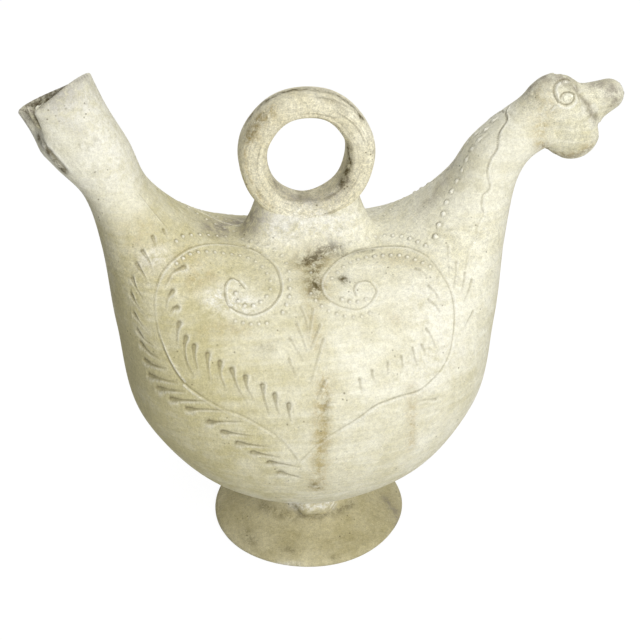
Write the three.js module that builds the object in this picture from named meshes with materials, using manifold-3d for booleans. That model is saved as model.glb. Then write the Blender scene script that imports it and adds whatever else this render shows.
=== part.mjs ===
// Hen-shaped earthenware pitcher with a ring handle, built from its luted clay pieces.
// Millimetres. X runs from the tail to the head, Z is up, and Y = 0 is the plane of symmetry.

import * as THREE from "three";
import { mergeVertices } from "three/addons/utils/BufferGeometryUtils.js";
import Module from "manifold-3d";

const wasm = await Module();
wasm.setup();

// Clay
const WALL = 6.5; // wall of belly, back, tail and neck
const LIP_WALL = 4.5; // wall of the head
const GAP = 0.3; // luted joint between two pieces

// Outline of the hen, from the tail mouth over the belly to the head. Each station is one section:
// back and breast are its ends in the plane of symmetry, half is half its width across,
// widest is where along the section that width lies, counted from the breast.
const STATIONS = [
  { back: [-121, 325], breast: [-167, 301], half: 21, widest: 0.5 },
  { back: [-111, 297.5], breast: [-154.5, 280], half: 21.5, widest: 0.5 },
  { back: [-100, 274], breast: [-143.5, 265.5], half: 23, widest: 0.5 },
  { back: [-91.5, 250], breast: [-129.5, 247.5], half: 27, widest: 0.5 },
  { back: [-75.5, 231.5], breast: [-122, 214.5], half: 37.5, widest: 0.48 },
  { back: [-58.5, 219.5], breast: [-118, 165], half: 59, widest: 0.46 },
  { back: [-38, 211.5], breast: [-108.5, 108], half: 82, widest: 0.46 },
  { back: [-19, 209], breast: [-64, 55.5], half: 95, widest: 0.48 },
  { back: [0, 208], breast: [0, 36.5], half: 99, widest: 0.5 },
  { back: [18, 208.5], breast: [61, 56], half: 95, widest: 0.48 },
  { back: [36, 209.5], breast: [102, 103.5], half: 82, widest: 0.46 },
  { back: [55, 216], breast: [115, 158.5], half: 59, widest: 0.46 },
  { back: [71.5, 228.5], breast: [120.5, 206.5], half: 36.5, widest: 0.48 },
  { back: [86, 243.5], breast: [124.5, 236], half: 25.5, widest: 0.5 },
  { back: [97, 262.5], breast: [130.5, 251], half: 21, widest: 0.5 },
  { back: [113, 277.5], breast: [138.5, 258.5], half: 19.5, widest: 0.5 },
  { back: [128.5, 297.5], breast: [148, 258], half: 17.5, widest: 0.5 },
];
const RINGS_PER_STATION = 3;
const OUTER_POINTS = 28;
const INNER_POINTS = 18;
const SECTION_FULLNESS = 2.15; // exponent of the section, 2 is an ellipse

// Tail mouth, pinched in from the breast side, with a lip that drops into a notch there
const PINCH_DEPTH = 0.3; // share of the section pushed in at the lip
const PINCH_WIDTH = 0.5; // radians round the section
const PINCH_STATIONS = 2.6; // the pinch fades out over these stations
const LOBE_SWELL = 0.12; // share of the section by which the lobe on the +Y side stands out
const LOBE_ANGLE = 2.35; // radians round the section
const LIP = { x: -119, z: 318.4, slope: 0.5675, tilt: 0.4, twist: 0.0081 };
const MOUTH_AXIS = [-0.507, 0, 0.862];
const NOTCH = { tip: [-150, -4.5, 287], depth: 26, halfWidth: 16, inside: 9, length: 40 };
const TONGUE = { at: [-152, -5, 294.5], size: [6.5, 8, 15], lean: 0.45 };

// Where the pieces of the skin are luted together
const BELLY_SEAM_Z = 148;
const MOUTH_STATION = 1.2;
const TAIL_ROOT_STATION = 3.4;
const NECK_ROOT_STATION = 12.6;
const HEAD_STATION = 15.1;

// Foot
const FOOT_RADIUS = 64.5;
const STEM_RADIUS = 30;
const STEM_Z = 28;
const FOOT_TOP_Z = 44;
const FOOT_WALL = 7;
const FOOT_REST_WIDTH = 6; // flat ring that it stands on
const FOOT_SIDES = 36;
const COIL_SPREAD = 10; // how far the luting coil swells out of the stem

// Ring handle
const RING_CENTRE_Z = 261.5;
const RING_RADIUS = 32.3; // to the middle of the clay
const RING_HALF_THICKNESS = 7.7;
const RING_HALF_DEPTH = 12;
const RING_HOLE_STRETCH = 0.15; // the hole is this much taller than wide
const SADDLE_TOP_Z = 241;
const SADDLE_SPREAD_Z = 210; // the fillet has its full spread from here down
const SADDLE_HALF_LENGTH = 44.5;
const SADDLE_HALF_WIDTH = 16;
const SADDLE_TOP_HALF_WIDTH = 11;

// Head, cheek, bill and eyes
const CRANIUM = { at: [142.5, 0, 287.5], radius: 15.8 };
const CHEEK = { at: [158.5, 0, 266.5], radius: 16.7 };
const BILL = { at: [151, 0, 283.5], tilt: 0.13, length: 36.2, base: 13.8, tip: 10 };
const SPOUT_HOLE_RADIUS = 4.2;
const SPOUT_HOLE_LENGTH = 60;
const EYE = { at: [147.2, 293.2], radius: 4.8, height: 2.6 };

const CREAM = 0xd8d2b4;
const FOOT_OLIVE = 0xa9a17e;
const RING_OCHRE = 0xcdc59c;

function clay(color, roughness) {
  return new THREE.MeshStandardMaterial({ color, roughness, metalness: 0 });
}

// Solid and geometry conversions

function solidFrom(geometry) {
  const bare = geometry.clone();
  bare.deleteAttribute("normal");
  bare.deleteAttribute("uv");
  const merged = mergeVertices(bare, 1e-4);
  const mesh = new wasm.Mesh({
    numProp: 3,
    vertProperties: new Float32Array(merged.attributes.position.array),
    triVerts: new Uint32Array(merged.index.array),
  });
  return new wasm.Manifold(mesh);
}

function geometryFrom(solid) {
  const { vertProperties, triVerts } = solid.getMesh();
  const geometry = new THREE.BufferGeometry();
  geometry.setAttribute("position", new THREE.BufferAttribute(new Float32Array(vertProperties), 3));
  geometry.setIndex(new THREE.BufferAttribute(new Uint32Array(triVerts), 1));
  return geometry;
}

// The half of space that a plane's normal points away from, as a big block.
function behindPlane(point, normal) {
  const reach = 900;
  const box = new THREE.BoxGeometry(reach, reach, reach);
  box.translate(0, 0, -reach / 2);
  const up = new THREE.Vector3(0, 0, 1);
  const turn = new THREE.Quaternion().setFromUnitVectors(up, normal.clone().normalize());
  box.applyQuaternion(turn);
  box.translate(point.x, point.y, point.z);
  return solidFrom(box);
}

// The hen's skin

const at = ([x, z]) => new THREE.Vector3(x, 0, z);
const through = (points) => new THREE.CatmullRomCurve3(points, false, "catmullrom");
const backCurve = through(STATIONS.map((s) => at(s.back)));
const breastCurve = through(STATIONS.map((s) => at(s.breast)));
const widthCurve = through(STATIONS.map((s) => new THREE.Vector3(s.half, s.widest, 0)));

function sectionAt(station) {
  const u = THREE.MathUtils.clamp(station / (STATIONS.length - 1), 0, 1);
  const width = widthCurve.getPoint(u);
  const back = backCurve.getPoint(u);
  const breast = breastCurve.getPoint(u);
  return { back, breast, half: width.x, widest: width.y };
}

// How far the skin is pushed in, as a share of the section, to form the two lobes of the mouth.
function pinchAt(station, angle) {
  const fade = THREE.MathUtils.clamp(1 - station / PINCH_STATIONS, 0, 1);
  const eased = fade * fade * (3 - 2 * fade);
  const fold = (angle - Math.PI) / PINCH_WIDTH;
  const lobe = (angle - LOBE_ANGLE) / PINCH_WIDTH;
  return eased * (PINCH_DEPTH * Math.exp(-fold * fold) - LOBE_SWELL * Math.exp(-lobe * lobe));
}

// A point of the skin. angle runs from the back (0) round by +Y to the breast (pi) and on.
// grow moves the skin outwards, and a negative grow gives the inside of the wall.
function skinPoint(station, angle, grow) {
  const { back, breast, half, widest } = sectionAt(station);
  const axis = back.clone().sub(breast);
  const length = axis.length();
  axis.normalize();
  const power = 2 / SECTION_FULLNESS;
  const along = Math.sign(Math.cos(angle)) * Math.abs(Math.cos(angle)) ** power;
  const across = Math.sign(Math.sin(angle)) * Math.abs(Math.sin(angle)) ** power;
  const reach = along > 0 ? (1 - widest) * length + grow : widest * length + grow;
  const inward = pinchAt(station, angle) * length;
  const point = breast.clone().addScaledVector(axis, widest * length + along * reach + inward);
  point.y = across * (half + grow);
  return point;
}

// Closed solid of the skin between two stations. lengthen carries each end on, along the body.
function skinSolid(from, to, grow, sides = OUTER_POINTS, lengthen = [0, 0]) {
  const steps = Math.ceil((to - from) * RINGS_PER_STATION);
  const rings = [];
  for (let i = 0; i <= steps; i += 1) {
    const station = from + ((to - from) * i) / steps;
    const ring = [];
    for (let j = 0; j < sides; j += 1) {
      ring.push(skinPoint(station, (2 * Math.PI * j) / sides, grow));
    }
    rings.push(ring);
  }
  if (lengthen[0]) {
    rings.unshift(carriedOn(rings[0], rings[1], lengthen[0]));
  }
  if (lengthen[1]) {
    rings.push(carriedOn(rings[rings.length - 1], rings[rings.length - 2], lengthen[1]));
  }
  return solidFrom(loft(rings));
}

function centreOf(ring) {
  const sum = ring.reduce((total, point) => total.add(point), new THREE.Vector3());
  return sum.divideScalar(ring.length);
}

function carriedOn(ring, before, distance) {
  const step = centreOf(ring).sub(centreOf(before)).setLength(distance);
  return ring.map((point) => point.clone().add(step));
}

// Quads between rings and a fan at each end.
function loft(rings) {
  const count = rings[0].length;
  const points = rings.flat();
  points.push(centreOf(rings[0]), centreOf(rings[rings.length - 1]));
  const first = rings.length * count;
  const faces = [];
  for (let i = 0; i < rings.length - 1; i += 1) {
    for (let j = 0; j < count; j += 1) {
      const a = i * count + j;
      const b = i * count + ((j + 1) % count);
      faces.push(a, a + count, b, b, a + count, b + count);
    }
  }
  for (let j = 0; j < count; j += 1) {
    const next = (j + 1) % count;
    const last = (rings.length - 1) * count;
    faces.push(first, j, next);
    faces.push(first + 1, last + next, last + j);
  }
  const geometry = new THREE.BufferGeometry().setFromPoints(points);
  geometry.setIndex(faces);
  return geometry;
}

// Plane of a station's section, shifted along the body, with its normal towards the head.
function sectionPlane(station, shift) {
  const { back, breast } = sectionAt(station);
  const across = new THREE.Vector3(0, 1, 0);
  const normal = across.cross(back.clone().sub(breast)).normalize();
  const point = back.clone().add(breast).multiplyScalar(0.5).addScaledVector(normal, shift);
  return { point, normal };
}

function tailSideOf(station) {
  const { point, normal } = sectionPlane(station, -GAP / 2);
  return behindPlane(point, normal);
}

function headSideOf(station) {
  const { point, normal } = sectionPlane(station, GAP / 2);
  return behindPlane(point, normal.negate());
}

const LAST = STATIONS.length - 1;
const outerSkin = skinSolid(0, LAST, 0);
const innerSkin = skinSolid(0, LAST - 0.3, -WALL, INNER_POINTS, [12, 0]);
const skinShell = outerSkin.subtract(innerSkin);
const clearSkin = skinSolid(0, LAST, GAP);

const towardsHead = new THREE.Vector3(1, 0, 0);
const tailHalf = skinShell.intersect(behindPlane(new THREE.Vector3(), towardsHead));
const headHalf = skinShell.intersect(behindPlane(new THREE.Vector3(), towardsHead.clone().negate()));

// Wedge that opens the lip at the pinch.
function notch(shrink) {
  const { tip, depth, halfWidth, inside, length } = NOTCH;
  const outline = new THREE.Shape([
    new THREE.Vector2(0, shrink),
    new THREE.Vector2(halfWidth - shrink, depth),
    new THREE.Vector2(-halfWidth + shrink, depth),
  ]);
  const wedge = new THREE.ExtrudeGeometry(outline, { depth: length, bevelEnabled: false });
  wedge.translate(0, 0, -inside);
  // The outline's x runs across the hen, its y along the mouth's axis, and its depth out of the breast.
  const across = new THREE.Vector3(0, -1, 0);
  const up = new THREE.Vector3(...MOUTH_AXIS).normalize();
  const out = across.clone().cross(up);
  wedge.applyMatrix4(new THREE.Matrix4().makeBasis(across, up, out));
  wedge.translate(...tip);
  return solidFrom(wedge);
}

// Everything above the lip, which falls towards the breast and twists from one lobe to the other.
function aboveLip() {
  const height = 60;
  const block = new THREE.BoxGeometry(110, 90, height, 10, 8, 1);
  block.translate(LIP.x - 15, 0, 0);
  const points = block.attributes.position;
  for (let i = 0; i < points.count; i += 1) {
    const dx = points.getX(i) - LIP.x;
    const y = points.getY(i);
    const top = points.getZ(i) > 0 ? height : 0;
    points.setZ(i, LIP.z + LIP.slope * dx - LIP.tilt * y - LIP.twist * dx * y + top);
  }
  return solidFrom(block);
}

function tailMouth() {
  const mouth = tailHalf.intersect(tailSideOf(MOUTH_STATION));
  return mouth.subtract(aboveLip()).subtract(notch(0));
}

function tailTube() {
  return tailHalf.intersect(headSideOf(MOUTH_STATION)).intersect(tailSideOf(TAIL_ROOT_STATION));
}

function body() {
  return skinShell.intersect(headSideOf(TAIL_ROOT_STATION)).intersect(tailSideOf(NECK_ROOT_STATION));
}

function bellyBowl() {
  const seam = new THREE.Vector3(0, 0, BELLY_SEAM_Z - GAP / 2);
  return body().intersect(behindPlane(seam, new THREE.Vector3(0, 0, 1)));
}

function backDome() {
  const seam = new THREE.Vector3(0, 0, BELLY_SEAM_Z + GAP / 2);
  return body().intersect(behindPlane(seam, new THREE.Vector3(0, 0, -1)));
}

function neckTube() {
  return headHalf.intersect(headSideOf(NECK_ROOT_STATION)).intersect(tailSideOf(HEAD_STATION));
}

// Head: a round cranium that swallows the end of the neck.

function ball({ at: [x, y, z], radius }, grow = 0) {
  const sphere = new THREE.SphereGeometry(radius + grow, 20, 12);
  sphere.translate(x, y, z);
  return solidFrom(sphere);
}

function headOutside(grow) {
  const neckEnd = skinSolid(HEAD_STATION - 0.4, LAST, grow);
  const { point, normal } = sectionPlane(HEAD_STATION, GAP / 2 - grow);
  return neckEnd.intersect(behindPlane(point, normal.negate())).add(ball(CRANIUM, grow));
}

// Places a turned shape, whose axis is Y, on the axis of the bill.
function alongBill(turned) {
  turned.rotateZ(-Math.PI / 2);
  turned.rotateY(-BILL.tilt);
  turned.translate(...BILL.at);
  return solidFrom(turned);
}

function billSpout() {
  const { length, base, tip } = BILL;
  const profile = new THREE.SplineCurve([
    new THREE.Vector2(base, length * 0.35),
    new THREE.Vector2(base * 0.86, length * 0.6),
    new THREE.Vector2(tip * 1.04, length - 7),
    new THREE.Vector2(tip * 0.88, length - 2),
    new THREE.Vector2(tip * 0.5, length),
  ]);
  const outline = [
    new THREE.Vector2(0, 0),
    new THREE.Vector2(base * 0.8, 0),
    ...profile.getPoints(7),
    new THREE.Vector2(0, length),
  ];
  const outside = alongBill(new THREE.LatheGeometry(outline, 20));
  return outside.subtract(headOutside(GAP)).subtract(ball(CHEEK, GAP)).subtract(spoutHole(0));
}

function spoutHole(grow) {
  const radius = SPOUT_HOLE_RADIUS + grow;
  const hole = new THREE.CylinderGeometry(radius, radius, SPOUT_HOLE_LENGTH, 16);
  hole.translate(0, BILL.length - SPOUT_HOLE_LENGTH / 3, 0);
  return alongBill(hole);
}

function headShell() {
  const hollow = ball(CRANIUM, -LIP_WALL).add(innerSkin);
  return headOutside(0).subtract(hollow).subtract(spoutHole(0.5));
}

function cheekBulb() {
  const neckClearance = clearSkin.intersect(tailSideOf(HEAD_STATION + 0.02));
  return ball(CHEEK).subtract(headOutside(GAP)).subtract(neckClearance);
}

function eye(side) {
  const dome = new THREE.SphereGeometry(EYE.radius, 14, 8);
  dome.scale(1, EYE.height / EYE.radius, 1);
  const [x, z] = EYE.at;
  const reach = Math.hypot(x - CRANIUM.at[0], z - CRANIUM.at[2]);
  const out = Math.sqrt(CRANIUM.radius ** 2 - reach ** 2);
  dome.rotateX(side * Math.atan2(z - CRANIUM.at[2], out));
  dome.translate(x, side * out, z);
  return solidFrom(dome).subtract(headOutside(GAP)).subtract(ball(CHEEK, GAP));
}

// Folded tongue of clay that sits in the pinch of the tail mouth.

function lipTongue() {
  const [length, depth, height] = TONGUE.size;
  const lump = new THREE.SphereGeometry(1, 12, 8);
  lump.scale(length / 2, depth / 2, height / 2);
  lump.rotateY(-TONGUE.lean);
  lump.translate(...TONGUE.at);
  return solidFrom(lump).intersect(notch(GAP));
}

// Foot and the coil that lutes it to the belly.

function footPedestal() {
  const flare = new THREE.SplineCurve([
    new THREE.Vector2(FOOT_RADIUS, 3),
    new THREE.Vector2(FOOT_RADIUS - 7, 7),
    new THREE.Vector2(FOOT_RADIUS - 19, 11.5),
    new THREE.Vector2(STEM_RADIUS + 4.5, 17.5),
    new THREE.Vector2(STEM_RADIUS, STEM_Z),
  ]);
  const inside = new THREE.SplineCurve([
    new THREE.Vector2(STEM_RADIUS - FOOT_WALL, FOOT_TOP_Z),
    new THREE.Vector2(STEM_RADIUS - FOOT_WALL + 1.5, 16),
    new THREE.Vector2(FOOT_RADIUS - 26, 6),
    new THREE.Vector2(FOOT_RADIUS - FOOT_REST_WIDTH, 0),
  ]);
  const outline = [
    new THREE.Vector2(FOOT_RADIUS - 1, 0),
    ...flare.getPoints(8),
    new THREE.Vector2(STEM_RADIUS, FOOT_TOP_Z),
    ...inside.getPoints(6),
  ];
  outline.push(outline[0].clone());
  const turned = new THREE.LatheGeometry(outline, FOOT_SIDES);
  turned.rotateX(Math.PI / 2);
  return solidFrom(turned).subtract(clearSkin);
}

function footLutingCoil() {
  const inner = STEM_RADIUS + GAP;
  const inTheBelly = FOOT_TOP_Z + 8;
  const section = [
    new THREE.Vector2(inner, STEM_Z),
    new THREE.Vector2(STEM_RADIUS + COIL_SPREAD * 0.4, STEM_Z + 3),
    new THREE.Vector2(STEM_RADIUS + COIL_SPREAD * 0.9, STEM_Z + 10),
    new THREE.Vector2(STEM_RADIUS + COIL_SPREAD, inTheBelly),
    new THREE.Vector2(inner, inTheBelly),
    new THREE.Vector2(inner, STEM_Z),
  ];
  const turned = new THREE.LatheGeometry(section, 32);
  turned.rotateX(Math.PI / 2);
  return solidFrom(turned).subtract(clearSkin);
}

// Ring handle and the fillet of clay under it.

function roundedSquare(angle, power) {
  const x = Math.sign(Math.cos(angle)) * Math.abs(Math.cos(angle)) ** power;
  const y = Math.sign(Math.sin(angle)) * Math.abs(Math.sin(angle)) ** power;
  return new THREE.Vector2(x, y);
}

function ringSolid(grow) {
  const section = [];
  const sides = 12;
  for (let i = 0; i <= sides; i += 1) {
    const { x, y } = roundedSquare((2 * Math.PI * i) / sides, 0.65);
    const radius = RING_RADIUS + x * (RING_HALF_THICKNESS + grow);
    section.push(new THREE.Vector2(radius, y * (RING_HALF_DEPTH + grow)));
  }
  section[sides].copy(section[0]);
  const turned = new THREE.LatheGeometry(section, 36);
  stretchHole(turned);
  turned.translate(0, 0, RING_CENTRE_Z);
  return solidFrom(turned);
}

// Makes the ring's hole taller than wide and leaves its outside round.
function stretchHole(ring) {
  const points = ring.attributes.position;
  for (let i = 0; i < points.count; i += 1) {
    const radius = Math.hypot(points.getX(i), points.getZ(i));
    const inwards = (RING_RADIUS + RING_HALF_THICKNESS - radius) / (2 * RING_HALF_THICKNESS);
    points.setZ(i, points.getZ(i) * (1 + RING_HOLE_STRETCH * Math.max(0, inwards)));
  }
}

function ringHandle() {
  return ringSolid(0).subtract(clearSkin);
}

function handleSaddle() {
  const rings = [];
  const steps = 6;
  const sides = 24;
  const bottomZ = 200; // inside the back, which cuts it off
  for (let i = 0; i <= steps; i += 1) {
    const z = bottomZ + ((SADDLE_TOP_Z - bottomZ) * i) / steps;
    const spread = Math.min(1, (SADDLE_TOP_Z - z) / (SADDLE_TOP_Z - SADDLE_SPREAD_Z)) ** 2.2;
    const halfX = RING_RADIUS + (SADDLE_HALF_LENGTH - RING_RADIUS) * spread;
    const halfY = SADDLE_TOP_HALF_WIDTH + (SADDLE_HALF_WIDTH - SADDLE_TOP_HALF_WIDTH) * spread;
    const ring = [];
    for (let j = 0; j < sides; j += 1) {
      const { x, y } = roundedSquare((-2 * Math.PI * j) / sides, 0.7);
      ring.push(new THREE.Vector3(x * halfX, y * halfY, z));
    }
    rings.push(ring);
  }
  const bore = new THREE.CylinderGeometry(RING_RADIUS, RING_RADIUS, 120, 40);
  bore.translate(0, 0, RING_CENTRE_Z);
  const block = solidFrom(loft(rings)).subtract(solidFrom(bore));
  return block.subtract(ringSolid(GAP)).subtract(clearSkin);
}

// The pitcher

const pieces = [
  ["foot_pedestal", footPedestal(), clay(FOOT_OLIVE, 0.92)],
  ["foot_luting_coil", footLutingCoil(), clay(CREAM, 0.92)],
  ["belly_bowl", bellyBowl(), clay(CREAM, 0.9)],
  ["back_dome", backDome(), clay(CREAM, 0.9)],
  ["tail_tube", tailTube(), clay(CREAM, 0.9)],
  ["tail_mouth", tailMouth(), clay(CREAM, 0.9)],
  ["lip_tongue", lipTongue(), clay(CREAM, 0.9)],
  ["neck_tube", neckTube(), clay(CREAM, 0.9)],
  ["head_shell", headShell(), clay(CREAM, 0.88)],
  ["cheek_bulb", cheekBulb(), clay(CREAM, 0.88)],
  ["bill_spout", billSpout(), clay(CREAM, 0.88)],
  ["ring_handle", ringHandle(), clay(RING_OCHRE, 0.88)],
  ["handle_saddle", handleSaddle(), clay(CREAM, 0.9)],
  ["eye_left", eye(1), clay(CREAM, 0.88)],
  ["eye_right", eye(-1), clay(CREAM, 0.88)],
];

const pitcher = new THREE.Group();
for (const [name, solid, material] of pieces) {
  const mesh = new THREE.Mesh(geometryFrom(solid), material);
  mesh.name = name;
  pitcher.add(mesh);
}

// The origin lies under the middle of the whole pitcher, on the surface that it stands on.
const extent = new THREE.Box3().setFromObject(pitcher);
pitcher.position.x = -(extent.min.x + extent.max.x) / 2;

export default pitcher;
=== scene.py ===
"""Hen-shaped earthenware pitcher: the dressed model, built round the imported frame.

Lengths inside the classes are millimetres with X = 0 on the axis of the foot. A piece is put into the
frame's metres when it is finished.
"""

import logging
import math
from collections.abc import Callable
from dataclasses import dataclass, field
from enum import Enum

import bmesh
import bpy
import numpy as np
from mathutils import Matrix, Vector
from mathutils.bvhtree import BVHTree
from mathutils.kdtree import KDTree


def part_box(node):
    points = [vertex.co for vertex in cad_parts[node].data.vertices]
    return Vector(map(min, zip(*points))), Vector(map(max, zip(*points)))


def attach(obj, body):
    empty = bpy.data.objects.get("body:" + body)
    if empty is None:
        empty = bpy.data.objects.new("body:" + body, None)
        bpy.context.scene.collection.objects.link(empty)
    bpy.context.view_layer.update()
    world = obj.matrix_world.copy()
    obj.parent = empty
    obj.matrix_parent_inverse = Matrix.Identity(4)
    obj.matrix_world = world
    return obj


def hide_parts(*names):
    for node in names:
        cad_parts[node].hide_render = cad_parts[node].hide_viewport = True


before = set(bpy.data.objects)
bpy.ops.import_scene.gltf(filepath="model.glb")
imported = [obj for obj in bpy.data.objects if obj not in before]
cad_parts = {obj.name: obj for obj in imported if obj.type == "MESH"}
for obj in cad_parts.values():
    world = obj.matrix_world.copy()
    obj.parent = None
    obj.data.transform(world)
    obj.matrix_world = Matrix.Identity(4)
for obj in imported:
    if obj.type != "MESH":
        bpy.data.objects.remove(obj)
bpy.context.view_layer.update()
FOOT_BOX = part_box("foot_pedestal")
FOOT_AXIS_X = (FOOT_BOX[0].x + FOOT_BOX[1].x) / 2
PLACE = Matrix.Translation((FOOT_AXIS_X, 0, 0)) @ Matrix.Scale(0.001, 4)

log = logging.getLogger("pitcher")

Pixel = tuple[float, float]
Pixels = tuple[Pixel, ...]
Colour = tuple[float, float, float]
Plane = tuple[tuple[float, float, float], tuple[float, float, float]]

NORMAL_LAYERS = ("normal_x", "normal_y", "normal_z")
STATION_LAYERS = ("station", "turn_cos", "turn_sin", "grow")


# The photographed view


@dataclass(frozen=True)
class PhotoView:
    """The camera of the photograph, in millimetres from the foot's axis."""

    image_size: int = 640
    focal_pixels: float = 1250.0
    position: tuple[float, float, float] = (-84.98, -661.61, 560.0)
    yaw: float = math.radians(8.0)
    pitch: float = math.radians(31.64)
    sensor: float = 36.0

    def axes(self) -> tuple[Vector, Vector, Vector]:
        """Right, up and forward of the camera."""
        forward = Vector((math.sin(self.yaw) * math.cos(self.pitch),
                          math.cos(self.yaw) * math.cos(self.pitch), -math.sin(self.pitch)))
        right = Vector((math.cos(self.yaw), -math.sin(self.yaw), 0))
        return right, right.cross(forward), forward

    def ray(self, pixel: Pixel) -> Vector:
        """Direction from the camera through a pixel of the photograph."""
        right, up, forward = self.axes()
        middle = self.image_size / 2
        across, down = pixel[0] - middle, pixel[1] - middle
        return (forward * self.focal_pixels + right * across - up * down).normalized()

    def on_surface(self, surface: BVHTree, pixel: Pixel) -> Vector | None:
        """Point of a surface that a pixel shows.

        Args:
            surface: the surface that is looked at.
            pixel: place in the photograph.

        Returns:
            The point, or None where the pixel misses the surface.
        """
        return surface.ray_cast(Vector(self.position), self.ray(pixel))[0]

    def make_camera(self) -> bpy.types.Object:
        """Camera at the photograph's place, with no shift and no depth of field.

        Returns:
            The camera object, set as the scene's camera.
        """
        data = bpy.data.cameras.new("photo_camera")
        data.sensor_width = self.sensor
        data.lens = self.focal_pixels / self.image_size * self.sensor
        data.clip_start, data.clip_end = 0.02, 30.0
        camera = bpy.data.objects.new("photo_camera", data)
        right, up, forward = self.axes()
        turn = Matrix((right, up, -forward)).transposed().to_4x4()
        camera.matrix_world = Matrix.Translation(PLACE @ Vector(self.position)) @ turn
        bpy.context.collection.objects.link(camera)
        bpy.context.scene.camera = camera
        return camera


VIEW = PhotoView()


def smooth_path(points: Pixels, step: float) -> list[Pixel]:
    """Even points along a smooth curve through the given ones.

    Args:
        points: the points that the curve passes.
        step: distance from one point of the result to the next.

    Returns:
        The points along the curve.
    """
    knots = np.array(points, float)
    padded = np.vstack([2 * knots[0] - knots[1], knots, 2 * knots[-1] - knots[-2]])
    dense = []
    for i in range(len(knots) - 1):
        p0, p1, p2, p3 = padded[i:i + 4]
        t = np.linspace(0, 1, 24, endpoint=False)[:, None]
        dense.append(0.5 * (2 * p1 + (p2 - p0) * t + (2 * p0 - 5 * p1 + 4 * p2 - p3) * t ** 2
                            + (3 * p1 - p0 - 3 * p2 + p3) * t ** 3))
    dense = np.vstack(dense + [knots[-1:]])
    run = np.concatenate([[0], np.cumsum(np.linalg.norm(np.diff(dense, axis=0), axis=1))])
    places = np.linspace(0, run[-1], max(2, round(run[-1] / step) + 1))
    return [(float(np.interp(s, run, dense[:, 0])), float(np.interp(s, run, dense[:, 1]))) for s in places]


# Marks in the wet clay


class MarkKind(Enum):
    """How a mark was made in the damp clay."""

    LINE = "drawn with a pointed stick, which pushed up a burr on one side"
    LEAF = "pressed in with a round stick end and dragged out to a thin tail"
    STAMP = "stamped with a reed"


@dataclass(frozen=True)
class Bite:
    """How wide and how deep a tool went into the clay, in millimetres."""

    width: float
    depth: float


@dataclass(frozen=True)
class Mark:
    """One mark, as the photograph shows it, with the spacing of its points in pixels."""

    kind: MarkKind
    pixels: Pixels
    bite: Bite
    spacing: float = 0.7
    mirrored: bool = True


LEFT_SCROLL: Pixels = (
    (298, 461), (289, 449), (274, 435), (243, 417), (222, 409), (197, 394), (182, 381), (170, 363), (159, 338),
    (155, 322), (153.5, 305), (155, 290), (162, 273), (173, 260), (188, 249), (206, 243.5), (228, 243.5),
    (246, 247), (261, 253.5), (274, 264), (280, 278), (281, 290), (276, 301), (266, 310), (252, 315),
    (238.5, 312), (229, 305), (225.5, 295), (226, 284), (232, 278), (240, 282), (246, 289))
RIGHT_SCROLL: Pixels = (
    (300, 463), (322, 442), (358, 419), (376, 406), (399, 397), (419, 391), (433, 380), (444, 367), (451, 351),
    (454, 333), (455, 315), (453, 298), (448, 284), (439, 270), (429, 258), (413, 249), (398, 246), (376, 247),
    (358, 250), (340, 258), (328, 269), (321, 281), (323, 292), (331, 301), (343, 307), (358, 309), (369, 304),
    (376, 293), (375, 287), (370, 282), (363, 281), (356, 284), (354, 290), (357, 296))
NECK_LINE: Pixels = (
    (518, 96), (511, 103), (505.6, 113), (507, 120), (499, 133), (497, 148), (490, 160), (487, 172), (490, 188),
    (483, 196), (482, 206), (484, 214), (478, 226), (476, 238), (470, 248), (468, 258), (466, 270))
SCROLL_STAMPS: tuple[Pixels, ...] = (
    ((177, 241), (182.4, 236.3), (199.8, 234), (220.4, 235.2), (237, 237), (255, 242.4), (270.4, 247.8),
     (283.5, 257), (289, 270), (290, 285), (289, 299), (283, 312)), ((267, 323), (250.9, 324), (235.7, 321)),
    ((177, 263), (190, 254), (206, 251), (226, 253), (245, 256), (260, 264), (269, 276), (271, 286), (268, 295),
     (255, 305), (241, 304), (236, 293)),
    ((311, 272), (314, 264), (328, 253), (344, 246), (363, 240), (384, 235), (406, 237), (425, 245)),
    ((311, 293), (315, 299), (326, 309), (340, 315), (358, 317), (370, 313)),
    ((332, 278), (344, 266), (359, 259), (375, 256), (399, 255), (414, 259), (430, 266)),
    ((342, 299), (354, 302), (366, 299)))
NECK_STAMPS: Pixels = (
    (493, 120.5), (484, 131), (476.6, 142.6), (469, 152), (464, 164), (458.6, 175), (453, 187.4), (447, 198),
    (444, 210), (440, 220), (435, 236))
TAIL_STAMPS: Pixels = ((83, 146), (91, 149), (98, 143))
LEFT_OUTER_LEAVES: tuple[Pixels, ...] = (
    ((164, 230), (167, 236)), ((153, 237), (155.7, 246)), ((142.6, 251.5), (148, 260), (152.4, 272)),
    ((136.7, 264.6), (142, 273), (147.6, 283)), ((131.7, 279), (136, 289), (143.3, 300.4)),
    ((130.7, 296), (138, 308), (148, 319)), ((132.8, 314), (141, 325), (149.8, 335)),
    ((136.7, 331.3), (144, 340), (153, 346)), ((140, 344), (149, 353), (159.6, 359)),
    ((144.3, 361.3), (154, 366), (166, 369)), ((148.7, 376), (162, 380), (177, 383)),
    ((157.4, 389), (170, 390.5), (184.6, 391.7)), ((171, 400), (189, 401), (209.6, 401.5)),
    ((187.2, 409.8), (207, 410), (228, 411)), ((208.5, 423.3), (224, 422.3), (243, 422.2)),
    ((222.6, 433), (237, 434.5), (254, 437)), ((237.8, 444), (254, 446), (271.5, 447.8)),
    ((252.4, 453.7), (265, 455.5), (280, 458)), ((269.3, 463.5), (284, 465), (299.8, 467.8)),
    ((280.2, 474), (291, 476), (303, 478.7)))
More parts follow.
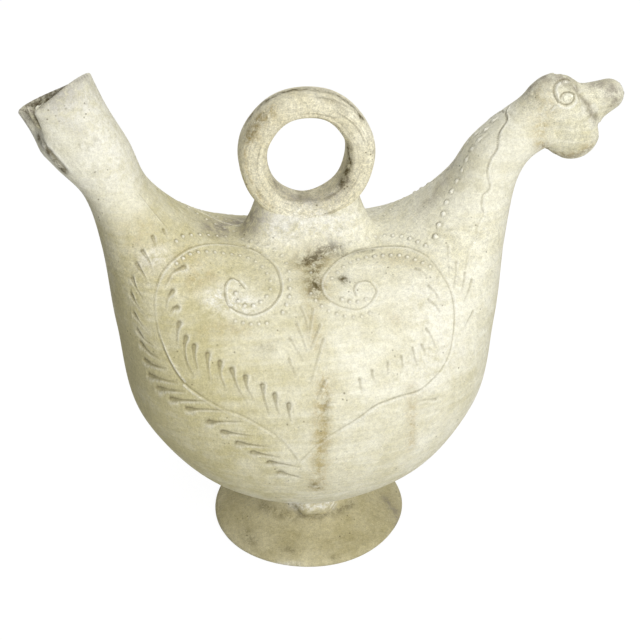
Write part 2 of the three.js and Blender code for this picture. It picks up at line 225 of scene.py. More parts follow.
LEFT_INNER_LEAVES: tuple[Pixels, ...] = (
    ((184.6, 266.7), (172.6, 273), (164.6, 287.4)), ((172.6, 291.3), (167, 299), (165.4, 311.3)),
    ((177, 307.4), (173, 309), (170.4, 313.5)), ((178.7, 323.3), (176.5, 333), (176.5, 346)),
    ((185.6, 337.4), (184, 348), (186, 362), (193.3, 376.5)), ((193.7, 346), (194, 357), (197.2, 371)),
    ((207.4, 354.3), (207.5, 366), (209.6, 381)), ((219.8, 362.4), (220, 375), (225.9, 390.7)),
    ((231.7, 369.6), (237, 387), (247.6, 403.7)), ((245.4, 377), (247, 388), (254, 400.4)),
    ((262.4, 385.7), (264, 399), (269, 414.6)), ((274.8, 395), (276, 405), (279, 415.7)),
    ((289, 405), (289, 413), (291, 422)))
PALMETTE_LEAVES: tuple[Pixels, ...] = (
    ((300.5, 307), (306, 320), (308, 336)), ((312.7, 308.6), (311, 322), (309, 338)),
    ((296.5, 324.3), (302, 337), (306.3, 350.4)), ((320, 324.5), (315, 338), (311, 349.5)),
    ((290, 338.5), (297, 350), (303, 361.3)), ((323.4, 339.3), (317, 361), (311, 383.6)),
    ((289, 359), (292, 367), (296.5, 376.5)), ((325, 381.8), (321, 391), (317.7, 399.5)))
RIGHT_LEAVES: tuple[Pixels, ...] = (
    ((415.5, 268.9), (421, 270.5), (426, 275)), ((429, 286), (435, 292), (440.5, 301.8)),
    ((429, 299.5), (435, 305), (440.5, 312)), ((426.8, 329), (432, 337), (436, 347)),
    ((422.3, 345), (424, 350), (425.7, 354)), ((413.2, 348.4), (415, 357), (417.7, 365.5)),
    ((401.8, 356.4), (402.5, 362), (403, 367.7)), ((388.2, 363.2), (388, 369), (388.2, 374.5)),
    ((372.3, 371), (373, 377), (375.7, 382.5)), ((359.8, 380), (362, 392.7)),
    ((447.7, 246), (448.5, 260), (449.5, 274.5)), ((456.4, 262), (456, 275), (454, 288)),
    ((465.5, 273.4), (464, 283), (462, 292.7)), ((472.3, 280), (469, 291), (464.3, 301.8)),
    ((473.4, 312), (469, 320), (464.3, 329)), ((436, 399.5), (427, 400), (417.7, 401.8)))
TAIL_FOLD: Pixels = ((41, 140), (46, 147), (53, 155), (60, 163), (67.5, 172))
SCRATCHES: tuple[Pixels, ...] = (
    ((138, 192), (151, 208), (164, 224)), ((306, 452), (314, 452)), ((319, 452), (331, 451.5)),
    ((328.5, 411), (327.5, 416)), ((310, 485), (318, 487)), ((300, 467), (301, 471)), ((328, 403), (337, 403)))


LEFT_SCROLL_BITE = Bite(0.62, 0.62)
RIGHT_SCROLL_BITE = Bite(0.6, 0.45)
NECK_LINE_BITE = Bite(0.62, 0.5)
TAIL_FOLD_BITE = Bite(1.3, 0.5)
SCRATCH_BITE = Bite(0.45, 0.3)
TOP_LEAF_BITE = Bite(1.05, 0.5)
LOW_LEAF_BITE = Bite(1.7, 1.3)
LEAVES_TO_FULL_BITE = 10
INNER_LEAF_BITE = Bite(1.45, 0.75)
PALMETTE_BITE = Bite(0.85, 0.36)
RIGHT_LEAF_BITE = Bite(0.95, 0.4)
SCROLL_STAMP_BITE, SCROLL_STAMP_SPACING = Bite(0.9, 0.42), 8.4
NECK_STAMP_BITE, NECK_STAMP_SPACING = Bite(1.35, 0.75), 11.8
TAIL_STAMP_BITE, TAIL_STAMP_SPACING = Bite(1.3, 0.12), 7.5


def neck_marks() -> list[Mark]:
    """The marks that run on from the neck to the head."""
    return [Mark(MarkKind.LINE, NECK_LINE, NECK_LINE_BITE),
            Mark(MarkKind.STAMP, NECK_STAMPS, NECK_STAMP_BITE, NECK_STAMP_SPACING)]


def outer_leaf_bite(number: int) -> Bite:
    """Bite of an outer leaf, deeper from leaf to leaf down the belly."""
    share = min(1.0, number / LEAVES_TO_FULL_BITE)
    return Bite(TOP_LEAF_BITE.width + (LOW_LEAF_BITE.width - TOP_LEAF_BITE.width) * share,
                TOP_LEAF_BITE.depth + (LOW_LEAF_BITE.depth - TOP_LEAF_BITE.depth) * share)


def hen_marks() -> list[Mark]:
    """Every mark on the side of the hen that the photograph shows.

    Returns:
        The marks, lines first.
    """
    marks = [Mark(MarkKind.LINE, LEFT_SCROLL, LEFT_SCROLL_BITE),
             Mark(MarkKind.LINE, RIGHT_SCROLL, RIGHT_SCROLL_BITE),
             Mark(MarkKind.LINE, TAIL_FOLD, TAIL_FOLD_BITE, mirrored=False)]
    marks += [Mark(MarkKind.LINE, scratch, SCRATCH_BITE, mirrored=False) for scratch in SCRATCHES]
    marks += [Mark(MarkKind.LEAF, leaf, outer_leaf_bite(i)) for i, leaf in enumerate(LEFT_OUTER_LEAVES)]
    for leaves, bite in ((LEFT_INNER_LEAVES, INNER_LEAF_BITE), (PALMETTE_LEAVES, PALMETTE_BITE),
                         (RIGHT_LEAVES, RIGHT_LEAF_BITE)):
        marks += [Mark(MarkKind.LEAF, leaf, bite) for leaf in leaves]
    marks += [Mark(MarkKind.STAMP, row, SCROLL_STAMP_BITE, SCROLL_STAMP_SPACING) for row in SCROLL_STAMPS]
    marks.append(Mark(MarkKind.STAMP, TAIL_STAMPS, TAIL_STAMP_BITE, TAIL_STAMP_SPACING))
    return marks + neck_marks()


@dataclass(frozen=True)
class Sample:
    """One point of a mark that is laid on a surface."""

    centre: Vector
    side: Vector
    width: float
    depth: float


@dataclass(frozen=True)
class Furrow:
    """Section across a drawn line. Its places and widths are shares of the width of the bite."""

    trough_at: float = -0.2
    ridge_at: float = 1.75
    ridge_width: float = 0.85
    ridge_height: float = 0.75
    wall_at: float = -0.5
    wall_width: float = 0.7
    wall_dirt_and_shade: float = 0.85

    def cut(self, sample: Sample, away: float, lateral: float) -> tuple[float, float, float]:
        """A furrow with its burr on the lower right, dirt and painted shade on its upper-left wall, and a
        painted highlight on the burr.
        """
        width = sample.width
        near = math.exp(-max(0.0, away * away - lateral * lateral) / (width * width))
        trough = near * math.exp(-((lateral - self.trough_at * width) / width) ** 2)
        ridge = near * math.exp(-((lateral - self.ridge_at * width) / (self.ridge_width * width)) ** 2)
        wall = near * math.exp(-((lateral - self.wall_at * width) / (self.wall_width * width)) ** 2)
        return self.ridge_height * ridge - trough, self.wall_dirt_and_shade * wall, ridge


@dataclass(frozen=True)
class Pit:
    """Section of a pressed leaf from its middle outwards, and how much more painted highlight and less painted
    shade its lower right gets.
    """

    rim_at: float = 1.5
    rim_width: float = 0.55
    rim_height: float = 0.3
    rim_light: float = 0.32
    wall_at: float = 0.7
    wall_width: float = 0.5
    wall_dirt_and_shade: float = 0.46
    floor_dirt_and_shade: float = 0.16
    lit_height: float = 0.2
    lit_share: float = 0.5
    middle: float = 0.25

    def cut(self, sample: Sample, away: float, lateral: float) -> tuple[float, float, float]:
        """A pit with a low rim: dirt and painted shade on its upper left and in its floor, and a painted
        highlight on its rim, strongest on the lower right.
        """
        width = sample.width
        lit = lateral / (away + self.middle)
        pit = math.exp(-(away / width) ** 3)
        rim = math.exp(-((away - self.rim_at * width) / (self.rim_width * width)) ** 2)
        wall = math.exp(-((away - self.wall_at * width) / (self.wall_width * width)) ** 2)
        return ((self.rim_height + self.lit_height * lit) * rim - pit,
                wall * (self.wall_dirt_and_shade - self.lit_share * lit) + self.floor_dirt_and_shade * pit,
                (self.rim_light + self.lit_share * lit) * rim)


@dataclass(frozen=True)
class ReedRing:
    """Section of a reed's stamp from its middle outwards."""

    ring_at: float = 1.4
    ring_width: float = 0.5
    ring_depth: float = 0.7
    ring_dirt_and_shade: float = 0.5
    lit_share: float = 0.45
    dome_light: float = 1.3
    middle: float = 0.3

    def cut(self, sample: Sample, away: float, lateral: float) -> tuple[float, float, float]:
        """A small dome in a shallow ring, with a painted highlight on the dome, and dirt and painted shade in
        the ring, least on its lower right.
        """
        lit = lateral / (away + self.middle)
        dome = math.exp(-(away / sample.width) ** 4)
        ring = math.exp(-((away - sample.width * self.ring_at) / self.ring_width) ** 2)
        return (dome - self.ring_depth * ring, ring * (self.ring_dirt_and_shade - self.lit_share * lit),
                self.dome_light * dome)


SECTIONS = {MarkKind.LINE: Furrow(), MarkKind.LEAF: Pit(), MarkKind.STAMP: ReedRing()}


@dataclass
class Engraver:
    """Lays marks on a surface and says how they move each point of it."""

    surface: BVHTree
    reach: float = 4.6
    pixel: float = 0.6
    tail_width: float = 0.72
    head_length: float = 2.3
    head_power: float = 1.6
    end_points: int = 4
    shallow: float = 0.25
    deepening: float = 1.3
    mirror_from: float = -2.0
    samples: dict[MarkKind, list[Sample]] = field(default_factory=dict)
    trees: dict[MarkKind, KDTree] = field(default_factory=dict)

    def profile(self, mark: Mark, index: int, count: int) -> tuple[float, float]:
        """Width and depth of a mark at one of its points.

        Args:
            mark: the mark.
            index: number of the point.
            count: how many points the mark has.

        Returns:
            The width and the depth, in millimetres.
        """
        width, depth = mark.bite.width, mark.bite.depth
        if mark.kind is MarkKind.STAMP:
            vary = math.sin(index * 12.9 + mark.pixels[0][0])
            return width * (1 + 0.07 * vary), depth * (0.85 + 0.3 * vary)
        ends = min(1.0, (index + 1) / self.end_points, (count - index) / self.end_points)
        if mark.kind is MarkKind.LINE:
            return width, depth * ends * (1 + 0.12 * math.sin(index * 0.21 + mark.pixels[0][1]))
        run = index * mark.spacing * self.pixel
        head = math.exp(-(run / (self.head_length * width)) ** self.head_power)
        left = min(1.0, 2 * (count - index) / count)
        return self.tail_width + (width - self.tail_width) * head, depth * (left + head) / 2

    def add(self, mark: Mark) -> None:
        """Lays one mark on the surface, and its mirror image on the far side.

        Args:
            mark: the mark to lay.
        """
        path = smooth_path(mark.pixels, mark.spacing)
        hits = [VIEW.on_surface(self.surface, pixel) for pixel in path]
        right, up, _ = VIEW.axes()
        # The lower right of each mark gets its painted highlight and the upper left its painted shade.
        lower_right = (right - up).normalized()
        count = len(path)
        kept = self.samples.setdefault(mark.kind, [])
        for i, hit in enumerate(hits):
            if hit is None:
                continue
            side = lower_right
            before, after = hits[max(0, i - 2)], hits[min(count - 1, i + 2)]
            if mark.kind is MarkKind.LINE and before and after and (after - before).length > 1e-6:
                side = (after - before).cross(self.surface.find_nearest(hit)[1]).normalized()
                if side.dot(lower_right) < 0:
                    side.negate()
            width, depth = self.profile(mark, i, count)
            kept.append(Sample(hit, side, width, depth))
            if mark.mirrored and hit.y < self.mirror_from:
                kept.append(Sample(Vector((hit.x, -hit.y, hit.z)), Vector((side.x, -side.y, side.z)),
                                   width, depth))

    def lay(self, marks: list[Mark]) -> "Engraver":
        """Lays every mark, makes the search trees and returns the engraver.

        Args:
            marks: the marks, of any kind.

        Returns:
            Itself, ready to cut.
        """
        for mark in marks:
            self.add(mark)
        for kind, samples in self.samples.items():
            if not samples:
                continue
            tree = KDTree(len(samples))
            for i, sample in enumerate(samples):
                tree.insert(sample.centre, i)
            tree.balance()
            self.trees[kind] = tree
        return self

    def distance(self, point: Vector) -> float:
        """Distance from a point to the nearest mark."""
        return min(tree.find(point)[2] for tree in self.trees.values())

    def cut(self, point: Vector) -> tuple[float, float, float]:
        """How the marks change the clay at a point.

        Args:
            point: a point of the surface.

        Returns:
            How far the point moves outwards, how much dirt and painted shade lie there, and how much painted
            highlight it gets as clean raised clay.
        """
        rise, dirt_and_shade, burr_highlight = 0.0, 0.0, 0.0
        for kind, tree in self.trees.items():
            _, index, away = tree.find(point)
            if away > self.reach:
                continue
            sample = self.samples[kind][index]
            added, dark, pale = SECTIONS[kind].cut(sample, away, (point - sample.centre).dot(sample.side))
            strength = min(1.0, self.shallow + sample.depth * self.deepening)
            rise += added * sample.depth
            dirt_and_shade, burr_highlight = max(dirt_and_shade, dark * strength), max(burr_highlight, pale * strength)
        return rise, dirt_and_shade, burr_highlight


# Finishes


def from_srgb(red: int, green: int, blue: int) -> Colour:
    """Linear colour of an sRGB one given in 0 to 255."""
    def channel(value: int) -> float:
        """Linear value of one channel."""
        share = value / 255
        return share / 12.92 if share <= 0.04045 else ((share + 0.055) / 1.055) ** 2.4
    return channel(red), channel(green), channel(blue)


class Tint(Enum):
    """What is painted on the clay, each in an attribute of that name: wear, stains, and painted shade from most
    grey smudges and some soot and ochre ones.
    """

    WORN = "worn"
    SOOT_AND_SHADE = "soot_and_shade"
    OCHRE = "ochre"
    GREY = "grey"
    CHALK = "chalk"


@dataclass(frozen=True)
class Smudge:
    """A tint painted over the clay along a path of the photograph, fading out over a radius in mm. Some are
    stains and some are painted shade.
    """

    tint: Tint
    pixels: Pixels
    radius: float
    strength: float


BELLY_SMUDGES: tuple[Smudge, ...] = (
    # Painted shade behind the left scroll and left of the fillet.
    Smudge(Tint.GREY, ((214, 228), (240, 222), (264, 218)), 11.0, 0.85),
    Smudge(Tint.GREY, ((262, 212), (284, 224)), 8.0, 0.5),
    Smudge(Tint.SOOT_AND_SHADE, ((304, 262), (316, 256), (330, 248), (338, 250)), 5.0, 0.95),
    Smudge(Tint.OCHRE, ((306, 264), (322, 254), (316, 272), (316, 292)), 8.0, 0.7),
    Smudge(Tint.SOOT_AND_SHADE, ((320, 252), (316, 262), (313, 275), (316, 290)), 4.5, 0.9),
    Smudge(Tint.SOOT_AND_SHADE, ((342.5, 279), (346, 280)), 3.0, 1.0),
    Smudge(Tint.SOOT_AND_SHADE, ((340, 256), (355, 252), (372, 250)), 1.6, 0.7),
    Smudge(Tint.OCHRE, ((313, 300), (312, 320), (316, 345)), 5.0, 0.4),
    Smudge(Tint.OCHRE, ((326, 382), (322, 410), (322, 440), (318, 488)), 5.0, 0.75),
    Smudge(Tint.SOOT_AND_SHADE, ((327, 395), (326, 420)), 2.0, 0.4),
    Smudge(Tint.SOOT_AND_SHADE, ((313, 485), (318, 488)), 3.0, 0.5),
    Smudge(Tint.OCHRE, ((413, 388), (412, 415), (412, 447)), 3.4, 0.6),
    Smudge(Tint.OCHRE, ((394, 318), (397, 319)), 4.5, 0.4),
    Smudge(Tint.SOOT_AND_SHADE, ((262, 350), (270, 346)), 4.0, 0.3),
    Smudge(Tint.OCHRE, ((196, 280), (206, 278)), 8.0, 0.5),
    Smudge(Tint.OCHRE, ((205, 330), (245, 328)), 4.5, 0.4),
    Smudge(Tint.OCHRE, ((385, 256), (420, 262)), 6.0, 0.3),
    Smudge(Tint.CHALK, ((218, 298), (246, 303)), 9.0, 0.8),
    Smudge(Tint.CHALK, ((148, 258), (160, 256)), 7.0, 0.6),
    Smudge(Tint.CHALK, ((282, 226), (310, 220), (345, 222)), 13.0, 0.8),
    Smudge(Tint.CHALK, ((430, 300), (445, 345), (425, 365)), 18.0, 0.5),
)
TAIL_SMUDGES: tuple[Smudge, ...] = (
    # Painted shadow beside the tongue and in the fold of the tail, and painted shade on the near lobe.
    Smudge(Tint.SOOT_AND_SHADE, ((27, 112), (31, 118), (38, 122)), 2.6, 0.6),
    Smudge(Tint.SOOT_AND_SHADE, ((38, 138), (48, 153), (56, 163), (63, 171)), 3.0, 1.0),
    Smudge(Tint.GREY, ((55, 117), (82, 131)), 4.5, 0.35),
    Smudge(Tint.CHALK, ((72, 108), (96, 110), (118, 160)), 20.0, 0.6),
    # Painted shade inside the mouth, with dirt, and dirt with painted shade along the lip.
    Smudge(Tint.GREY, ((62, 89), (45, 95), (28, 106)), 14.0, 0.9),
    Smudge(Tint.SOOT_AND_SHADE, ((62, 90), (48, 98), (34, 107)), 6.0, 0.8),
    Smudge(Tint.SOOT_AND_SHADE, ((88, 75), (64, 88), (47, 102), (41, 109)), 1.5, 1.0),
    Smudge(Tint.SOOT_AND_SHADE, ((82, 78), (92, 84), (97, 94)), 2.0, 0.4),
    Smudge(Tint.OCHRE, ((140, 235), (158, 262), (190, 262)), 13.0, 0.35),
)
HEAD_SMUDGES: tuple[Smudge, ...] = (
    # Painted shade on the crown.
    Smudge(Tint.GREY, ((528, 90), (540, 79), (552, 77), (566, 80)), 5.5, 0.75),
    Smudge(Tint.OCHRE, ((538, 92), (548, 104), (541, 116)), 9.0, 0.35),
    # Painted shade in the crease of the bill and on the bill.
    Smudge(Tint.GREY, ((576, 88), (580, 97), (588, 107), (595, 119)), 3.4, 0.6),
    Smudge(Tint.GREY, ((598, 84), (610, 87), (616, 98)), 7.0, 0.75),
    # Painted shade under the cheek, brown along its edge.
    Smudge(Tint.OCHRE, ((541, 126), (541, 141), (550, 151), (570, 156), (588, 148)), 4.5, 0.7),
    Smudge(Tint.GREY, ((543, 146), (556, 154), (572, 157), (588, 150)), 2.8, 0.6),
    # Painted shade by the stamps of the neck.
    Smudge(Tint.GREY, ((452, 165), (438, 190), (425, 205)), 7.0, 0.45),
)
RING_SMUDGES: tuple[Smudge, ...] = (
    # Painted shade along the top edge of the ring, with dirt.
    Smudge(Tint.SOOT_AND_SHADE, ((247, 122), (256, 110), (268, 100), (285, 92), (307, 89), (331, 93), (350, 104),
           (362, 118)), 2.8, 1.0),
    Smudge(Tint.OCHRE, ((268, 112), (256, 122), (249, 138)), 5.5, 0.85),
    Smudge(Tint.SOOT_AND_SHADE, ((266, 116), (255, 126), (248, 136)), 4.0, 0.4),
    Smudge(Tint.SOOT_AND_SHADE, ((320, 98), (336, 103), (346, 112)), 2.6, 0.4),
    # Painted shade in the hole and on its dark side.
    Smudge(Tint.GREY, ((276, 186), (300, 199), (328, 198), (346, 180)), 5.0, 0.8),
    Smudge(Tint.SOOT_AND_SHADE, ((348, 146), (349, 163), (342, 182)), 3.4, 1.0),
    Smudge(Tint.OCHRE, ((244.6, 150), (246.6, 170), (260.6, 198), (272.6, 207)), 1.0, 0.7),
)
FOOT_SMUDGES: tuple[Smudge, ...] = (
    # Painted shadow under the belly, with dirt.
    Smudge(Tint.SOOT_AND_SHADE, ((262, 506), (280, 513), (308, 516), (335, 511), (352, 503)), 4.0, 0.6),
    Smudge(Tint.CHALK, ((292, 503), (312, 507), (332, 503)), 3.4, 1.0),
    Smudge(Tint.SOOT_AND_SHADE, ((246, 533), (252, 542)), 5.5, 0.45),
    Smudge(Tint.SOOT_AND_SHADE, ((288, 549), (292, 551)), 2.0, 0.6),
    Smudge(Tint.SOOT_AND_SHADE, ((334, 557), (338, 557)), 2.0, 0.6),
    # Greyer towards the right edge of the foot.
    Smudge(Tint.GREY, ((388, 500), (396, 512), (397, 522)), 5.0, 0.7),
    Smudge(Tint.CHALK, ((232, 548), (262, 561), (300, 566)), 2.2, 0.6),
)
SMUDGES = BELLY_SMUDGES + TAIL_SMUDGES + HEAD_SMUDGES + RING_SMUDGES + FOOT_SMUDGES
SMUDGE_STEP = 3.0

Wear = Callable[[np.ndarray], tuple[np.ndarray, np.ndarray]]


def paint(mesh: bpy.types.Mesh, surface: BVHTree, wear: Wear) -> None:
    """Writes the wear, the stains and the painted shade on each point of a mesh.

    Args:
        mesh: the mesh, in millimetres.
        surface: the same surface, for the rays.
        wear: gives how worn and how rough each point is.
    """
    points = coordinates(mesh)
    values = {tint: np.zeros(len(points)) for tint in Tint}
    values[Tint.WORN], rough = wear(points)
    write_layer(mesh, "rough", rough)
    for smudge in SMUDGES:
        for pixel in smooth_path(smudge.pixels, SMUDGE_STEP):
            hit = VIEW.on_surface(surface, pixel)
            if hit is None:
                continue
            away = np.linalg.norm(points - np.array(hit), axis=1)
            value = smudge.strength * np.exp(-(away / smudge.radius) ** 2)
            values[smudge.tint] = np.maximum(values[smudge.tint], value)
    for tint, value in values.items():
        write_layer(mesh, tint.value, value)


@dataclass(frozen=True)
class ClayFinish:
    """Unglazed clay with patina. Sizes of the pattern are per metre."""

    name: str
    clean: Colour
    worn: Colour
    # Colour of specks, dirt and the painted shade in the marks.
    dirt_and_shade_colour: Colour
    # Colour of the painted highlight on burrs, rims and stamp domes.
    ridge: Colour
    patina: float
    grain: float
    speckle: float
    streaks: tuple[float, float, float]
    streak_depth: float
    rings: bool = False


# Colours of the smudges, whose grey and some of whose soot and ochre are painted shade.
TINTS: dict[Tint, Colour] = {
    Tint.OCHRE: (176, 158, 106), Tint.GREY: (150, 142, 128), Tint.SOOT_AND_SHADE: (98, 88, 58),
    Tint.CHALK: (243, 241, 230)}


class NodeSheet:
    """Nodes of a material or a world, laid out by short calls."""

    def __init__(self, owner: bpy.types.Material | bpy.types.World) -> None:
        """Clears the owner's nodes."""
        self.owner = owner
        owner.use_nodes = True
        self.tree = owner.node_tree
        self.tree.nodes.clear()

    def add(self, kind: str, **settings: object) -> bpy.types.Node:
        """Adds a node.

        Args:
            kind: the node's type.
            settings: its properties by name.

        Returns:
            The node.
        """
        node = self.tree.nodes.new(kind)
        for key, value in settings.items():
            setattr(node, key, value)
        return node

    def feed(self, socket: bpy.types.NodeSocket, value: object) -> None:
        """Links an output to a socket, or sets a plain value on it."""
        if isinstance(value, bpy.types.NodeSocket):
            self.tree.links.new(value, socket)
        elif isinstance(value, tuple) and socket.type == "RGBA":
            socket.default_value = (*value, 1.0)
        else:
            socket.default_value = value

    def noise(self, where: object, scale: float, detail: float = 3.0, rough: float = 0.55,
              distort: float = 0.0) -> bpy.types.NodeSocket:
        """Noise value from 0 to 1.

        Args:
            where: the coordinates.
            scale: features per metre.
            detail: octaves.
            rough: weight of the fine octaves.
            distort: how far it is swirled.

        Returns:
            The noise's value.
        """
        node = self.add("ShaderNodeTexNoise")
        self.feed(node.inputs["Vector"], where)
        self.feed(node.inputs["Scale"], scale)
        self.feed(node.inputs["Detail"], detail)
        self.feed(node.inputs["Roughness"], rough)
        self.feed(node.inputs["Distortion"], distort)
        return node.outputs["Fac"]

    def place(self, where: object, location: tuple = (0, 0, 0), scale: tuple = (1, 1, 1),
              kind: str = "POINT") -> bpy.types.NodeSocket:
        """Coordinates moved and stretched by a Mapping node."""
        node = self.add("ShaderNodeMapping", vector_type=kind)
        self.feed(node.inputs["Vector"], where)
        node.inputs["Location"].default_value = location
        node.inputs["Scale"].default_value = scale
        return node.outputs["Vector"]

    def span(self, value: object, low: float, high: float, to_low: float = 0.0,
             to_high: float = 1.0) -> bpy.types.NodeSocket:
        """A value eased from one range to another and held at its ends."""
        node = self.add("ShaderNodeMapRange", interpolation_type="SMOOTHSTEP")
        for slot, number in zip(("From Min", "From Max", "To Min", "To Max"), (low, high, to_low, to_high)):
            node.inputs[slot].default_value = number
        self.feed(node.inputs["Value"], value)
        return node.outputs["Result"]

    def math(self, operation: str, first: object, second: object = 0.0) -> bpy.types.NodeSocket:
        """Result of a Math node."""
        node = self.add("ShaderNodeMath", operation=operation)
        self.feed(node.inputs[0], first)
        self.feed(node.inputs[1], second)
        return node.outputs[0]

    def limit(self, value: object) -> bpy.types.NodeSocket:
        """A value held between 0 and 1."""
        node = self.add("ShaderNodeClamp")
        self.feed(node.inputs["Value"], value)
        return node.outputs[0]

    def mix(self, share: object, first: object, second: object, blend: str = "MIX") -> bpy.types.NodeSocket:
        """Two colours mixed by a share."""
        node = self.add("ShaderNodeMix", data_type="RGBA", blend_type=blend)
        self.feed(node.inputs["Factor"], share)
        self.feed(node.inputs[6], first)
        self.feed(node.inputs[7], second)
        return node.outputs[2]

    def attribute(self, name: str) -> bpy.types.NodeSocket:
        """Value of the piece's own attribute."""
        return self.add("ShaderNodeAttribute", attribute_name=name).outputs["Fac"]


class ClayMaterial:
    """Makes the material of one clay finish."""

    def __init__(self, finish: ClayFinish) -> None:
        """Keeps the finish."""
        self.finish = finish

    def colour(self, sheet: NodeSheet, where: object) -> bpy.types.NodeSocket:
        """Mottled clay with patina, dirt and painted shade in the marks, painted highlights on their burrs,
        stains and painted shade from the smudges, and specks.

        Args:
            sheet: the material's nodes.
            where: object coordinates.

        Returns:
            The colour.
        """
        finish = self.finish
        mottles = ((sheet.noise(where, 16.0, 5.0, 0.62, 0.4), 0.35),
                   (sheet.noise(where, 80.0, 4.0, 0.65, 0.3), 0.36),
                   (sheet.noise(sheet.place(where, scale=finish.streaks), 1.0, 4.0, 0.65, 0.4), 0.28))
        amount = sheet.attribute("worn")
        for mottle, reach in mottles:
            amount = sheet.math("ADD", amount, sheet.span(mottle, 0.32, 0.68, -reach / 2, reach / 2))
        amount = sheet.limit(sheet.math("MULTIPLY", amount, finish.patina))
        colour = sheet.mix(amount, finish.clean, finish.worn)
        ragged = sheet.span(sheet.noise(where, 210.0, 6.0, 0.8, 0.3), 0.38, 0.62, 0.1, 1.2)
        # The smudges: stains, and painted shade from the grey and from some soot and ochre ones.
        for tint, shade in TINTS.items():
            share = sheet.limit(sheet.math("MULTIPLY", sheet.attribute(tint.value), ragged))
            colour = sheet.mix(share, colour, from_srgb(*shade))
        if finish.rings:
            colour = self.throwing_colour(sheet, where, colour)
        specks = sheet.add("ShaderNodeTexVoronoi", feature="F1")
        sheet.feed(specks.inputs["Vector"], where)
        specks.inputs["Scale"].default_value = 260.0
        dot = sheet.span(specks.outputs["Distance"], 0.2, 0.08)
        rare = sheet.span(sheet.noise(where, 70.0, 3.0, 0.6), 0.52, 0.66, 0.0, finish.speckle)
        colour = sheet.mix(sheet.math("MULTIPLY", dot, rare), colour, finish.dirt_and_shade_colour)
        # Dirt and painted shade in the marks, then the painted highlight on their burrs, rims and domes.
        dirt_and_shade = sheet.math("MULTIPLY", sheet.attribute("groove_dirt_and_shade"), 0.85)
        colour = sheet.mix(dirt_and_shade, colour, finish.dirt_and_shade_colour)
        colour = sheet.mix(sheet.math("MULTIPLY", sheet.attribute("burr_highlight"), 0.7), colour, finish.ridge)
        return sheet.mix(1.0, colour, self.grain(sheet, where), "MULTIPLY")

    def grain(self, sheet: NodeSheet, where: object) -> bpy.types.NodeSocket:
        """Brightness of the fine grain, round about 1."""
        swing = sheet.math("MULTIPLY", sheet.math("ADD", sheet.attribute("rough"), 1.0), self.finish.grain)
        total = 1.0
        for scale, weight in ((1250.0, 2.2), (420.0, 1.7)):
            centred = sheet.math("SUBTRACT", sheet.noise(where, scale, 2.0, 0.6), 0.51)
            swung = sheet.math("MULTIPLY", sheet.math("MULTIPLY", centred, weight), swing)
            layer = sheet.math("ADD", swung, 1.0)
            total = sheet.math("MULTIPLY", layer, total)
        return total

    def throwing_colour(self, sheet: NodeSheet, where: object, colour: object) -> bpy.types.NodeSocket:
        """Darker lines that run round the ring where it was thrown.

        Args:
            sheet: the material's nodes.
            where: object coordinates.
            colour: the clay's colour without them.

        Returns:
            The colour with the lines.
        """
        centre = (FOOT_AXIS_X, 0.0, RingHandle.centre_z / 1000)
        centred = sheet.place(where, centre, (1, 1, 1), "TEXTURE")
        flat = sheet.place(centred, scale=(1, 0.001, 1))
        radius = sheet.add("ShaderNodeVectorMath", operation="LENGTH")
        sheet.feed(radius.inputs[0], flat)
        mix = sheet.add("ShaderNodeCombineXYZ")
        sheet.feed(mix.inputs["X"], sheet.math("MULTIPLY", radius.outputs["Value"], 620.0))
        split = sheet.add("ShaderNodeSeparateXYZ")
        sheet.feed(split.inputs[0], centred)
        sheet.feed(mix.inputs["Y"], sheet.math("MULTIPLY", split.outputs["X"], 26.0))
        sheet.feed(mix.inputs["Z"], sheet.math("MULTIPLY", split.outputs["Z"], 26.0))
        lines = sheet.noise(mix.outputs[0], 1.0, 3.0, 0.6)
        return sheet.mix(sheet.span(lines, 0.52, 0.72, 0.0, 0.45), colour, self.finish.dirt_and_shade_colour)

    def relief(self, sheet: NodeSheet, where: object) -> bpy.types.NodeSocket:
        """Grain and smoothing marks too fine to be modelled.

        Args:
            sheet: the material's nodes.
            where: object coordinates.

        Returns:
            The shading normal.
        """
        fine = sheet.noise(where, 800.0, 3.0, 0.65)
        lumps = sheet.noise(where, 190.0, 4.0, 0.6)
        smears = sheet.noise(sheet.place(where, scale=self.finish.streaks), 3.0, 3.0, 0.6, 0.3)
        normal = None
        for height, distance, strength in ((smears, self.finish.streak_depth, 0.6), (lumps, 0.0008, 0.6),
                                           (fine, 0.0005, 0.7)):
            bump = sheet.add("ShaderNodeBump")
            bump.inputs["Strength"].default_value = strength
            bump.inputs["Distance"].default_value = distance
            sheet.feed(bump.inputs["Height"], height)
            if normal is not None:
                sheet.feed(bump.inputs["Normal"], normal)
            normal = bump.outputs["Normal"]
        return normal

    def build(self) -> bpy.types.Material:
        """The finished material."""
        sheet = NodeSheet(bpy.data.materials.new(self.finish.name))
        where = sheet.add("ShaderNodeTexCoord").outputs["Object"]
        shader = sheet.add("ShaderNodeBsdfPrincipled")
        shader.inputs["Specular IOR Level"].default_value = 0.25
        sheet.feed(shader.inputs["Base Color"], self.colour(sheet, where))
        sheet.feed(shader.inputs["Roughness"], sheet.span(sheet.noise(where, 60.0), 0.3, 0.7, 0.78, 0.95))
        sheet.feed(shader.inputs["Normal"], self.relief(sheet, where))
        output = sheet.add("ShaderNodeOutputMaterial")
        sheet.feed(output.inputs["Surface"], shader.outputs["BSDF"])
        return sheet.owner


# Shared modelling


def undulation(points: np.ndarray) -> np.ndarray:
    """How far the hand-made surface lies under its smooth form.

    Args:
        points: an array of points, in millimetres.

    Returns:
        One distance for each point, from 0 to about 0.8.
    """
    waves = ((0.052, 0.031, 0.043, 0.4), (-0.037, 0.061, 0.028, 1.9), (0.083, -0.024, -0.071, 3.1),
             (0.021, 0.019, 0.117, 0.7))
    total = sum(np.sin(points[:, 0] * a + points[:, 1] * b + points[:, 2] * c + d) for a, b, c, d in waves)
    return 0.4 + 0.1 * total


